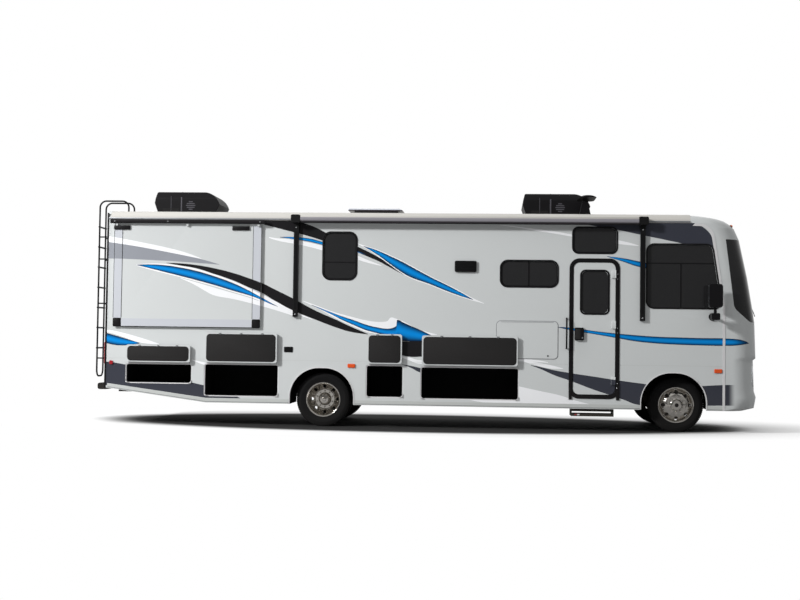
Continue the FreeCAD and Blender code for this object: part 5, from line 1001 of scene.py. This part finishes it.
def window_bars():
    """Mullions, sliding rails and the rubber beads between panes and frames."""
    bars, beads = bmesh.new(), bmesh.new()
    for rear, front, low, top, radius in WINDOWS.values():
        limits = (TAIL + rear + BEAD_CLEAR, TAIL + front - BEAD_CLEAR, low + BEAD_CLEAR, top - BEAD_CLEAR)
        side_ring(beads, limits, KERB, PANE_REACH, BEAD_THICK, radius, BEAD_WIDE)
    rear, front = WINDOWS["tall"][:2]
    side_plate(bars, (TAIL + rear, TAIL + front, *TALL_RAIL), KERB, PANE_REACH, BAR_THICK)
    low, top, radius = WINDOWS["wide"][2:]
    side_plate(bars, (*WIDE_POST, low, top), KERB, PANE_REACH, POST_THICK)
    limits = (BED_REAR, BED_FRONT - BEAD_CLEAR, low + BEAD_CLEAR, top - BEAD_CLEAR)
    side_ring(beads, limits, ROAD, PANE_REACH, BEAD_THICK, radius, BEAD_WIDE)
    side_plate(bars, (*BED_POST, low, top), ROAD, PANE_REACH, POST_THICK)
    for side in (KERB, ROAD):
        for limits in (CAB_RAIL, CAB_POST):
            side_plate(bars, limits, side, PANE_REACH, BAR_THICK)
    finish_piece("window_bars", bars, trim_black)
    finish_piece("window_beads", beads, bin_black)


def room_windows():
    """Frames round the two windows of the road side's slide-out room."""
    low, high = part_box("road_room_glass")
    places = sorted({round(v.co.x, 3) for v in nodes["road_room_glass"].data.vertices})
    gaps = [(after - before, before, after) for before, after in zip(places, places[1:])
            if before > low.x + PANE_AT_LEAST and after < high.x - PANE_AT_LEAST]
    _, rear_pane_end, front_pane_start = max(gaps)
    bm = bmesh.new()
    for rear, front in ((low.x, rear_pane_end), (front_pane_start, high.x)):
        side_ring(bm, (rear - FRAME_LAP, front + FRAME_LAP, low.z - FRAME_LAP, high.z + FRAME_LAP), ROAD, ROOM_REACH,
                  FRAME_THICK, FRAME_ROUND, FRAME_WIDE, edge=FRAME_EDGE)
        middle = (rear + front) / 2
        side_plate(bm, (middle - POST_HALF, middle + POST_HALF, low.z, high.z), ROAD, ROOM_REACH - POST_SET_BACK,
                   POST_THICK)
    finish_piece("room_window_frames", bm, trim_black, "road_room")


window_bars()
room_windows()


# Slide-out rooms


def room_trim(word, side, limits, body):
    """The flange's strips and thin lines, black corner blocks and brackets, and the topper's screws."""
    rear, front, low, top = limits
    flange = 0.125
    strips, lines, corners = bmesh.new(), bmesh.new(), bmesh.new()
    for start in (rear + 0.004, front - flange - 0.004):
        side_plate(strips, (start, start + flange, low + 0.135, top - 0.045), side, ROOM_REACH, PROUD)
        for edge in (start - 0.003, start + flange - 0.003):
            side_plate(lines, (edge, edge + 0.006, low + 0.135, top - 0.045), side, ROOM_REACH + PROUD, HAIR)
        side_plate(corners, (start - 0.003, start + flange, low, low + 0.135), side, ROOM_REACH, 0.006, 0.02, 0.002)
    side_plate(strips, (rear + flange, front - flange, low + 0.004, low + 0.128), side, ROOM_REACH, PROUD)
    side_plate(lines, (rear + flange, front - flange, low, low + 0.012), side, ROOM_REACH + PROUD, HAIR)
    finish_piece(f"{word}_room_flanges", strips, flange_paint, body)
    finish_piece(f"{word}_room_lines", lines, trim_black, body)
    if side == KERB:
        for start, end in ((TAIL + 0.067 + 0.05, TAIL + 0.365), (TAIL + 1.943, TAIL + 2.205)):
            side_plate(corners, (start, end, 2.95, 3.01), side, ROOM_REACH, 0.022, edge=0.003)
    finish_piece(f"{word}_room_corners", corners, trim_black, body)
    bm = bmesh.new()
    for x in (rear + 0.02, rear + (front - rear) * 0.37, front - 0.02):
        rod(bm, (x, side * 1.371, top + 0.016), (x, side * 1.3725, top + 0.016), 0.011, sides=16)
    finish_piece(f"{word}_topper_screws", bm, bright_metal, body)


flange_paint = striped_paint("flange_paint", base=tone(187, 190, 196))
room_trim("kerb", KERB, (TAIL + 0.119, TAIL + 2.394, 1.467, 3.058), "kerb_room")
room_trim("road", ROAD, (TAIL + 3.9, TAIL + 7.58, 1.02, 2.99), "road_room")


# Luggage doors


DOOR_RIM, DOOR_WIDE_RIM, CATCH_INSET, LATCH_INSET = 0.02, 0.03, 0.011, 0.07
ROAD_LINING_REACH, KERB_LATCH_REACH, ROAD_LATCH_REACH = 1.232, 1.294, 1.27
KERB_LINING_ROUND, ROAD_LINING_ROUND, LINING_EDGE = 0.056, 0.03, 0.001
NARROW_DOOR = 0.6
CATCH_HALF_WIDE, CATCH_HALF_TALL, CATCH_THICK, CATCH_ROUND, CATCH_EDGE = 0.02, 0.009, 0.007, 0.006, 0.0015
HOOK_DROP, HOOK_LONG, HOOK_RADIUS = 0.012, 0.009, 0.006
LATCH_HALF_WIDE, LATCH_HALF_TALL, LATCH_THICK, LATCH_ROUND, LATCH_EDGE = 0.04, 0.025, 0.006, 0.01, 0.002


def bay_door_trim(name):
    """A dark lining with rounded corners, small catches at the door's free edge, and outer latches."""
    low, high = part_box(name)
    lining, catches, latches = bmesh.new(), bmesh.new(), bmesh.new()
    if name.startswith("kerb"):
        side, near, latch_reach = KERB, -low.y, KERB_LATCH_REACH
        free, latch_z = high.z - CATCH_INSET, high.z - LATCH_INSET
        limits = (low.x + DOOR_RIM, high.x - DOOR_RIM, low.z + DOOR_WIDE_RIM, high.z - DOOR_RIM)
        side_plate(lining, limits, side, near, PROUD, KERB_LINING_ROUND, LINING_EDGE)
    else:
        side, near, latch_reach = ROAD, ROAD_LINING_REACH - PROUD, ROAD_LATCH_REACH
        free, latch_z = low.z + CATCH_INSET, low.z + LATCH_INSET
        limits = (low.x + DOOR_RIM, high.x - DOOR_RIM, low.z + DOOR_RIM, high.z - DOOR_WIDE_RIM)
        side_plate(lining, limits, side, near, PROUD, ROAD_LINING_ROUND)
    y, base = side * near, side * latch_reach
    count = 2 if high.x - low.x < NARROW_DOOR else 3
    for index in range(count):
        x = low.x + (high.x - low.x) * (index + 0.7) / (count + 0.4)
        face = flat_face(catches, side_corners(x - CATCH_HALF_WIDE, x + CATCH_HALF_WIDE, free - CATCH_HALF_TALL,
                                               free + CATCH_HALF_TALL, y), CATCH_ROUND, 3)
        thicken(catches, [face], (0, KERB * CATCH_THICK, 0), CATCH_EDGE)
        rod(catches, (x, y, free - HOOK_DROP), (x, y + KERB * HOOK_LONG, free - HOOK_DROP), HOOK_RADIUS, sides=12)
        face = flat_face(latches, side_corners(x - LATCH_HALF_WIDE, x + LATCH_HALF_WIDE, latch_z - LATCH_HALF_TALL,
                                               latch_z + LATCH_HALF_TALL, base), LATCH_ROUND, 4)
        thicken(latches, [face], (0, ROAD * LATCH_THICK, 0), LATCH_EDGE)
    finish_piece(f"{name}_lining", lining, panel_black, name)
    finish_piece(f"{name}_catches", catches, bright_metal, name)
    finish_piece(f"{name}_latches", latches, trim_black, name)


def bay_corners():
    """Rounded fillets in the lower corners of each luggage bay's frame."""
    inset, radius, steps = 0.012, 0.05, 8
    bm = bmesh.new()
    for word, (rear, front, low, top) in BAYS.items():
        for side_name, side in SIDES.items():
            if f"{side_name}_{word}_bay_door" not in nodes:
                continue
            for start, way in ((TAIL + rear + inset, 1), (TAIL + front - inset, -1)):
                centre = (start + way * radius, low + inset + radius)
                arc = [(centre[0] - way * radius * math.cos(step * math.pi / 2 / steps),
                        centre[1] - radius * math.sin(step * math.pi / 2 / steps)) for step in range(steps + 1)]
                outline_plate(bm, [(start, low + inset)] + arc[::-1], side, HALF_WIDE, 0.0185)
    finish_piece("bay_corners", bm, edge_paint)


BAYS = {"tail": (0.322, 1.353, 0.612, 0.916), "aft": (1.537, 2.679, 0.431, 0.924),
        "mid": (4.002, 4.567, 0.450, 0.938), "long": (4.823, 6.296, 0.438, 0.926)}
for node_name in [name for name in nodes if name.endswith("bay_door")]:
    bay_door_trim(node_name)
bay_corners()


# Awning


def awning_details():
    """The rolled cloth, its rail and valance, and the arms' screws and channels."""
    low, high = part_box("awning")
    y, z, radius = -1.362, 3.126, 0.0605
    rear, front = low.x + 0.142, high.x - 0.142
    bm = bmesh.new()
    rod(bm, (rear, y, z), (front, y, z), radius, sides=40)
    # The roll's finish carries a painted shade along its underside.
    finish_piece("awning_roll", bm, awning_cloth)
    bm = bmesh.new()
    side_plate(bm, (rear, front, z + 0.018, z + 0.05), KERB, -y + 0.044, 0.0135, edge=0.005)
    finish_piece("awning_rail", bm, roof_paint)
    bm = bmesh.new()
    side_plate(bm, (rear, front, z - 0.066, z - 0.048), KERB, -y + 0.016, 0.012, edge=0.004)
    finish_piece("awning_valance", bm, frame_paint)
    screws, grooves = bmesh.new(), bmesh.new()
    for arm in (TAIL + 2.922, TAIL + 8.106):
        for height in (3.0, 1.69):
            ball(screws, (arm, -1.3165, height), 0.011, flat=0.5)
        side_plate(grooves, (arm - 0.016, arm + 0.016, 1.76, 2.94), KERB, 1.3155, 0.0022, 0.008)
    finish_piece("awning_screws", screws, bright_metal)
    finish_piece("awning_arm_channels", grooves, bin_black)


awning_details()


# Walls' small fittings


def vent_slats():
    """Slats over the two vents in the kerb wall."""
    bm = bmesh.new()
    rear, front, low, top = TAIL + 5.335, TAIL + 5.631, 2.362, 2.505
    pitch = (top - low) / 6
    for index in range(6):
        z = low + pitch * index
        face = flat_face(bm, [(rear, -1.3, z), (front, -1.3, z), (front, -1.3, z + pitch * 0.62),
                              (rear, -1.3, z + pitch * 0.62)])
        thicken(bm, [face], (0, -0.006, 0), 0.003)
    for index in range(4):
        x = TAIL + 2.775 + index * 0.0265
        face = flat_face(bm, side_corners(x, x + 0.016, 1.126, 1.181, -1.278))
        thicken(bm, [face], (0, -0.003, 0))
    finish_piece("vent_slats", bm, bin_black)


HATCH_LOCK_PIXEL = (547.8, 356)


def hatch_details():
    """The hatch's shadow line, its top hinge and a round lock."""
    bm = bmesh.new()
    limits = (TAIL + 5.949, TAIL + 6.873, 1.059, 1.631)
    side_ring(bm, limits, KERB, HALF_WIDE, 0.0015, 0.066, 0.012)
    side_plate(bm, (TAIL + 6.02, TAIL + 6.8, 1.607, 1.613), KERB, HALF_WIDE + 0.008, 0.0015)
    finish_piece("hatch_gap", bm, gutter_grey)
    bm = bmesh.new()
    x, z = on_side(*HATCH_LOCK_PIXEL)
    rod(bm, (x, -1.278, z), (x, -1.283, z), 0.011, sides=20)
    finish_piece("hatch_lock", bm, trim_black)


def entry_details():
    """The door's handle plate with its paddle and lock, its window's frame, and the jamb feet and screws."""
    plate, paddle, lock = bmesh.new(), bmesh.new(), bmesh.new()
    rear, front, low, top = TAIL + 7.113, TAIL + 7.249, 1.346, 1.538
    side_plate(plate, (rear, front, low, top), KERB, 1.282, 0.0225, 0.02, 0.004)
    side_plate(paddle, (rear + 0.015, front - 0.05, low + 0.02, top - 0.02), KERB, 1.3045, 0.004, 0.012, 0.002)
    rod(lock, (front - 0.024, -1.3045, low + 0.04), (front - 0.024, -1.309, low + 0.04), 0.011, sides=20)
    ball(lock, (front - 0.024, -1.309, low + 0.04), 0.006, flat=0.4)
    finish_piece("entry_handle_plate", plate, trim_black, "entry_door")
    finish_piece("entry_handle_paddle", paddle, panel_black, "entry_door")
    finish_piece("entry_lock", lock, bright_metal, "entry_door")
    bm = bmesh.new()
    for start in (TAIL + 7.031, TAIL + 7.7285):
        side_plate(bm, (start, start + 0.047, 0.47, 0.72), KERB, HALF_WIDE, 0.014, edge=0.002)
    finish_piece("entry_jamb_feet", bm, trim_black)
    bm = bmesh.new()
    for z in (0.68, 1.5, 2.3):
        for step in (-0.035, 0.035):
            ball(bm, (TAIL + 7.742, -1.287, z + step), 0.006, flat=0.5, rings=5)
    finish_piece("entry_screws", bm, bright_metal)
    bm = bmesh.new()
    side_ring(bm, (TAIL + 7.186, TAIL + 7.626, 1.731, 2.404), KERB, HALF_WIDE, 0.007, 0.085, 0.026, 0.002)
    finish_piece("entry_window_frame", bm, trim_black, "entry_door")


def step_reflectors():
    """A red and a white reflector on the outside step's edge."""
    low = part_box("entry_step")[0]
    red, white = bmesh.new(), bmesh.new()
    side_plate(red, (low.x + 0.05, low.x + 0.085, 0.236, 0.256), KERB, -low.y, HAIR, 0.004)
    side_plate(white, (low.x + 0.09, low.x + 0.125, 0.236, 0.256), KERB, -low.y, HAIR, 0.004)
    finish_piece("step_reflector_red", red, red_lens)
    finish_piece("step_reflector_white", white, edge_paint)


vent_slats()
hatch_details()
entry_details()
step_reflectors()


# Roof


def cooler_details():
    """Louvres, ribs and a round grille on each roof cooler's sides, and a rib over its top."""
    louvres, ribs = bmesh.new(), bmesh.new()
    reach = 0.371
    for rear in (-4.380, 1.494):
        for side in (KERB, ROAD):
            for index in range(9):
                z = 3.335 + index * 0.027
                side_plate(louvres, (rear + 0.13, rear + 0.40, z, z + 0.014), side, reach - 0.004 - index * 0.0026, 0.008)
            side_plate(ribs, (rear + 0.425, rear + 0.447, 3.302, 3.56), side, reach - 0.004, 0.007, 0, 0.002)
            side_plate(ribs, (rear + 0.262, rear + 0.27, 3.33, 3.58), side, reach - 0.012, 0.012)
            for index in range(5):
                z = 3.36 + index * 0.03
                half = 0.075 * math.sin(math.pi * (index + 0.8) / 5.6)
                side_plate(ribs, (rear + 0.585 - half, rear + 0.585 + half, z, z + 0.016), side, reach - 0.004, 0.005,
                           0.006)
        side_plate(ribs, (rear + 0.425, rear + 0.447, 3.646, 3.65), KERB, -0.31, 0.62)
    finish_piece("cooler_louvres", louvres, panel_black)
    finish_piece("cooler_ribs", ribs, rib_grey)


def cap_lamps():
    """Five amber lamps over the windshield and five red ones over the rear wall."""
    lenses, bases = bmesh.new(), bmesh.new()
    for reach in (-1.0, -0.2, 0.0, 0.2, 1.0):
        spot, normal = skin_spot("front_cap", (6.0, reach, 3.085), (-1, 0, 0))
        turn = normal.to_track_quat("Z", "Y").to_matrix().to_4x4()
        place = Matrix.Translation(spot) @ turn
        bmesh.ops.create_cone(bases, cap_ends=True, segments=24, radius1=0.03, radius2=0.024, depth=0.02,
                              matrix=place)
        bmesh.ops.create_uvsphere(lenses, u_segments=20, v_segments=10, radius=0.022,
                                  matrix=place @ Matrix.Translation((0, 0, 0.008)) @ Matrix.Diagonal((1, 1, 0.9, 1)))
    finish_piece("brow_lamp_bases", bases, trim_black)
    finish_piece("brow_lamps", lenses, amber_lens)
    red = bmesh.new()
    for reach in (-1.05, -0.2, 0.0, 0.2, 1.05):
        face = flat_face(red, end_corners(reach - 0.045, reach + 0.045, 3.09, 3.13, TAIL), 0.012)
        thicken(red, [face], (-0.02, 0, 0), 0.005)
    finish_piece("rear_brow_lamps", red, red_lens)


rib_grey = finish("rib_grey", tone(74, 73, 78), 0.5)
amber_lens = finish("amber_lens", tone(232, 104, 18), 0.15, coat=1.0, grain=0.006, depth=0.0003)
cooler_details()
cap_lamps()


# Rear wall


def rear_details():
    """Lamp bars, reversing lamps, a blank plate in its holder under a lamp, and the wall's seams."""
    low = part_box("tail_lamps")[0]
    bars, clear = bmesh.new(), bmesh.new()
    for side in (KERB, ROAD):
        right = side * 1.234 if side == KERB else 1.126
        for index in range(9):
            z = low.z + 0.03 + index * 0.034
            face = flat_face(bars, end_corners(right + 0.01, right + 0.098, z, z + 0.005, low.x))
            thicken(bars, [face], (-HAIR, 0, 0))
        face = flat_face(clear, end_corners(right + 0.012, right + 0.096, 1.04, 1.1, low.x), 0.01)
        thicken(clear, [face], (-0.003, 0, 0), 0.001)
    finish_piece("tail_lamp_bars", bars, red_lens)
    finish_piece("reversing_lamps", clear, clear_lens)
    plate, holder = bmesh.new(), bmesh.new()
    face = flat_face(holder, end_corners(-0.19, 0.19, 0.74, 0.93, TAIL), 0.015)
    thicken(holder, [face], (-0.012, 0, 0), 0.003)
    face = flat_face(holder, end_corners(-0.05, 0.05, 0.935, 0.96, TAIL), 0.006)
    thicken(holder, [face], (-0.03, 0, 0), 0.004)
    face = flat_face(plate, end_corners(-0.152, 0.152, 0.762, 0.914, TAIL - 0.012), 0.012)
    thicken(plate, [face], (-0.0015, 0, 0))
    finish_piece("plate_holder", holder, trim_black)
    finish_piece("blank_plate", plate, edge_paint)
    seams = bmesh.new()
    for z in (1.42, 0.985):
        face = flat_face(seams, end_corners(-1.23, 1.23, z, z + 0.005, TAIL))
        thicken(seams, [face], (-HAIR, 0, 0))
    finish_piece("tail_seams", seams, skirt_paint)


def tail_pipe():
    """The exhaust's pipe under the tail."""
    points = [(-3.1, 0.62, 0.5), (-3.6, 0.62, 0.47), (-4.2, 0.62, 0.47), (-4.72, 0.62, 0.46), (-4.84, 0.62, 0.44)]
    tube_curve("tail_pipe", points, 0.036, zinc_sheet)


rear_details()
tail_pipe()


# Nose


def wipers():
    """Two wiper arms with blades, laid on the windshield."""
    for word, foot_y, tip_y in (("kerb", -0.95, -0.2), ("road", 0.15, 0.9)):
        arm, blade = [], []
        for share in (0.0, 0.35, 0.7, 1.0):
            y = foot_y + (tip_y - foot_y) * share
            z = 1.74 + 0.32 * share
            spot, normal = skin_spot("windshield", (7.0, y, z), (-1, 0, 0))
            arm.append(spot + normal * 0.02)
        for share in (-0.5, 0.0, 0.5, 1.0):
            y = tip_y + 0.3 * (share - 0.25)
            z = 2.06 + 0.3 * (share - 0.25)
            spot, normal = skin_spot("windshield", (7.0, y, z), (-1, 0, 0))
            blade.append(spot + normal * 0.009)
        tube_curve(f"{word}_wiper_arm", arm, 0.006, trim_black)
        tube_curve(f"{word}_wiper_blade", blade, 0.005, trim_black)


def lamp_bowls():
    """Round reflectors with bulbs behind the headlamp lenses: the low outer one on each side is amber."""
    bowls, bulbs, ambers = bmesh.new(), bmesh.new(), bmesh.new()
    for side in (KERB, ROAD):
        for offset, height in ((-0.07, 0.91), (0.07, 0.91), (-0.07, 0.77), (0.07, 0.77)):
            y = side * 0.95 + offset
            spot, _ = skin_spot("headlamps", (7.0, y, height), (-1, 0, 0))
            face_x = spot.x - 0.045
            part = ambers if height < 0.8 and offset * side > 0 else bowls
            centre = (face_x, y, height)
            verts = [part.verts.new((face_x - back, y, height + r))
                     for back, r in ((0.0, 0.062), (0.012, 0.056), (0.03, 0.042), (0.042, 0.024), (0.046, 0.0))]
            edges = [part.edges.new(pair) for pair in zip(verts, verts[1:])]
            bmesh.ops.spin(part, geom=verts + edges, cent=centre, axis=(1, 0, 0), dvec=(0, 0, 0), angle=FULL_TURN,
                           steps=32, use_merge=True)
            bmesh.ops.remove_doubles(part, verts=part.verts, dist=SAME_POLE)
            bmesh.ops.create_uvsphere(bulbs, u_segments=14, v_segments=8, radius=0.012,
                                      matrix=Matrix.Translation((face_x - 0.026, y, height)))
    bowl = finish_piece("lamp_bowls", bowls, chrome)
    amber = finish_piece("lamp_turn_bowls", ambers, amber_lens)
    for piece in (bowl, amber):
        wall = piece.modifiers.new("wall", "SOLIDIFY")
        wall.thickness = 0.002
    finish_piece("lamp_bulbs", bulbs, clear_lens)


def radiator():
    """A dark core with upright fins behind the grille."""
    core, fins = bmesh.new(), bmesh.new()
    low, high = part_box("grille")
    face = flat_face(core, end_corners(low.y - 0.02, high.y + 0.02, low.z - 0.03, high.z + 0.03, low.x - 0.06))
    thicken(core, [face], (-0.03, 0, 0))
    for index in range(33):
        y = low.y + (high.y - low.y) * (index + 0.5) / 33
        face = flat_face(fins, end_corners(y - 0.004, y + 0.004, low.z, high.z, low.x - 0.06))
        thicken(fins, [face], (0.006, 0, 0))
    finish_piece("radiator_core", core, bin_black)
    finish_piece("radiator_fins", fins, cast_iron)


def mirror_faces():
    """Silvered glasses on the rearward faces of both mirror heads."""
    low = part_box("mirrors")[0]
    bm = bmesh.new()
    for side in (KERB, ROAD):
        right, left = sorted((side * 1.438, side * 1.532))
        for bottom, top in ((1.96, 2.172), (1.876, 1.948)):
            face = flat_face(bm, end_corners(right, left, bottom, top, low.x + 0.001), 0.014)
            thicken(bm, [face], (-0.003, 0, 0), 0.001)
    finish_piece("mirror_glasses", bm, mirror_glass)


wipers()
lamp_bowls()
radiator()
mirror_faces()


# Cab


def cushion(name, low, high, crown, channels=0):
    """A padded block, full in its middle and drawn in along its seams."""
    low, high = Vector(low), Vector(high)
    size, middle = high - low, (low + high) / 2
    bm = bmesh.new()
    bmesh.ops.create_cube(bm, size=1.0, matrix=Matrix.Translation(middle) @ Matrix.Diagonal((*size, 1)))
    bmesh.ops.subdivide_edges(bm, edges=bm.edges, cuts=7, use_grid_fill=True)
    for vert in bm.verts:
        share = [2 * (vert.co[axis] - middle[axis]) / size[axis] for axis in range(3)]
        for axis in range(3):
            others = [share[other] for other in range(3) if other != axis]
            full = math.cos(others[0] * math.pi / 2) * math.cos(others[1] * math.pi / 2)
            drawn = crown * (1 - full)
            vert.co[axis] -= math.copysign(drawn, share[axis]) if abs(share[axis]) > 0.99 else 0
        if channels and abs(share[0]) > 0.9:
            vert.co.x -= math.copysign(0.008 * abs(math.sin(share[1] * math.pi * channels)), share[0])
    piece = finish_piece(name, bm, seat_cloth, sharp=180)
    smooth = piece.modifiers.new("stuffing", "SUBSURF")
    smooth.levels = smooth.render_levels = 2
    return piece


def cab_chairs():
    """Two padded chairs with head and arm rests, in place of the plain CAD seats."""
    first = None
    for word, side in (("guest", KERB), ("driver", ROAD)):
        y = side * 0.6
        seat = cushion(f"{word}_seat_cushion", (3.265, y - 0.275, 1.275), (3.785, y + 0.275, 1.405), 0.022, 1)
        back = cushion(f"{word}_seat_back", (3.155, y - 0.265, 1.36), (3.285, y + 0.265, 1.95), 0.024, 2)
        head = cushion(f"{word}_head_rest", (3.14, y - 0.15, 1.96), (3.25, y + 0.15, 2.155), 0.02)
        arm_y = y - side * 0.245
        arm = cushion(f"{word}_arm_rest", (3.28, arm_y - 0.03, 1.5), (3.64, arm_y + 0.03, 1.56), 0.01)
        first = first or seat
    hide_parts("cab_seats")


cab_chairs()


# Floor, light and camera

WHITE_LONG, WHITE_WIDE, WHITE_START, WHITE_END = 6.2, 2.6, 0.75, 1.25
FLOOR_SEEN, FLOOR_UNSEEN, FLOOR_GRAIN, FLOOR_GRAIN_SCALE = 0.9, 0.35, 0.01, 9.0
# The painted shadow under the coach: its ellipse's middle, half length and half width, where its edge fades, and how
# dark it is.
PAINTED_SHADOW_MIDDLE, PAINTED_SHADOW_LONG, PAINTED_SHADOW_WIDE = -0.13, 5.3, 2.3
PAINTED_SHADOW_START, PAINTED_SHADOW_END, PAINTED_SHADOW_LEVEL = 0.84, 1.03, 0.03


def ellipse_reach(tree, place, middle, half_long, half_wide):
    """How far out a place on the floor lies, as a share of the way to an ellipse's edge."""
    along = maths(tree, "DIVIDE", maths(tree, "SUBTRACT", place.outputs["X"], middle), half_long)
    across = maths(tree, "DIVIDE", place.outputs["Y"], half_wide)
    squares = maths(tree, "ADD", maths(tree, "POWER", along, 2.0), maths(tree, "POWER", across, 2.0))
    return maths(tree, "SQRT", squares)


def make_floor():
    """A pale floor that fades to white further out, with a painted shadow under the coach: a dark ellipse that only
    the camera sees.
    """
    bm = bmesh.new()
    bmesh.ops.create_grid(bm, x_segments=2, y_segments=2, size=FLOOR_HALF)
    mesh = bpy.data.meshes.new("floor")
    bm.to_mesh(mesh)
    bm.free()
    floor = bpy.data.objects.new("floor", mesh)
    bpy.context.scene.collection.objects.link(floor)
    shader = Shader("floor_white")
    tree = shader.tree
    shader.put(Roughness=0.9, Specular_IOR_Level=0.1)
    place = shader.add("SeparateXYZ", Vector=shader.add("TexCoord").outputs["Object"])
    far = ellipse_reach(tree, place, 0.0, WHITE_LONG, WHITE_WIDE)
    # shade is the painted shadow under the coach. It darkens only what the camera sees.
    shade = ramp(tree, ellipse_reach(tree, place, PAINTED_SHADOW_MIDDLE, PAINTED_SHADOW_LONG, PAINTED_SHADOW_WIDE), PAINTED_SHADOW_START, PAINTED_SHADOW_END,
                 PAINTED_SHADOW_LEVEL, 1.0)
    grain = shader.add("TexNoise", Vector=place.inputs[0].links[0].from_socket, Scale=FLOOR_GRAIN_SCALE).outputs["Fac"]
    seen = shader.add("LightPath").outputs["Is Camera Ray"]
    brighter = maths(tree, "MULTIPLY_ADD", shade, FLOOR_SEEN, -FLOOR_UNSEEN)
    pale = maths(tree, "MULTIPLY_ADD", grain, FLOOR_GRAIN,
                 maths(tree, "MULTIPLY_ADD", seen, brighter, FLOOR_UNSEEN))
    shader.join(shader.add("CombineColor", _0=pale, _1=pale, _2=pale).outputs[0], shader.surface.inputs["Base Color"])
    white = shader.add("Emission", Color=(1, 1, 1, 1), Strength=1.0)
    share = maths(tree, "MULTIPLY", maths(tree, "MULTIPLY", seen, shade), ramp(tree, far, WHITE_START, WHITE_END))
    mixed = shader.add("MixShader", _0=share, _1=shader.surface.outputs[0], _2=white.outputs[0])
    shader.join(mixed.outputs[0], tree.nodes["Material Output"].inputs["Surface"])
    mesh.materials.append(shader.material)


def make_world():
    """Soft light from overhead and from the far side, with plain white behind the coach."""
    world = bpy.data.worlds.new("studio")
    bpy.context.scene.world = world
    world.use_nodes = True
    tree = world.node_tree
    way = add_node(tree, "SeparateXYZ", Vector=add_node(tree, "TexCoord").outputs["Generated"])
    sky = ramp(tree, way.outputs["Z"], -0.1, 0.9, HORIZON_LEVEL, ZENITH_LEVEL)
    sky = maths(tree, "ADD", sky, ramp(tree, way.outputs["Y"], 0.0, 1.0, 0.0, FAR_SIDE_LEVEL))
    seen = add_node(tree, "LightPath").outputs["Is Camera Ray"]
    strength = add_node(tree, "Mix", {"data_type": "FLOAT"}, Factor=seen, _2=sky, _3=1.0).outputs[0]
    tree.nodes["Background"].inputs["Color"].default_value = (1, 1, 1, 1)
    tree.links.new(strength, tree.nodes["Background"].inputs["Strength"])


def make_lamp(name, place, target, wide, power):
    lamp = bpy.data.lights.new(name, "AREA")
    lamp.shape = "SQUARE"
    lamp.size = wide
    lamp.energy = power
    holder = bpy.data.objects.new(name, lamp)
    bpy.context.scene.collection.objects.link(holder)
    aim = Vector(target) - Vector(place)
    holder.matrix_world = Matrix.Translation(place) @ aim.to_track_quat("-Z", "Y").to_matrix().to_4x4()


def make_camera():
    """The photograph's viewpoint, fitted to the coach's corners and edges in it."""
    camera = bpy.data.cameras.new("camera")
    camera.sensor_fit = "HORIZONTAL"
    camera.lens = FOCAL_PIXELS * camera.sensor_width / PHOTO_WIDE
    camera.clip_end = 4 * FLOOR_HALF
    holder = bpy.data.objects.new("camera", camera)
    bpy.context.scene.collection.objects.link(holder)
    right, above, ahead = camera_axes()
    turn = Matrix((right, above, -ahead)).transposed().to_4x4()
    holder.matrix_world = Matrix.Translation(CAMERA_PLACE) @ turn
    bpy.context.scene.camera = holder


HORIZON_LEVEL, ZENITH_LEVEL, FAR_SIDE_LEVEL = 0.1, 0.7, 0.6
KEY_PLACE, KEY_TARGET, KEY_WIDE, KEY_WATTS = (-18, -14, 12), (0, 0, 1.5), 2.5, 6400
bpy.context.scene.view_settings.view_transform = "Standard"
make_floor()
make_world()
make_lamp("key", KEY_PLACE, KEY_TARGET, KEY_WIDE, KEY_WATTS)
make_camera()
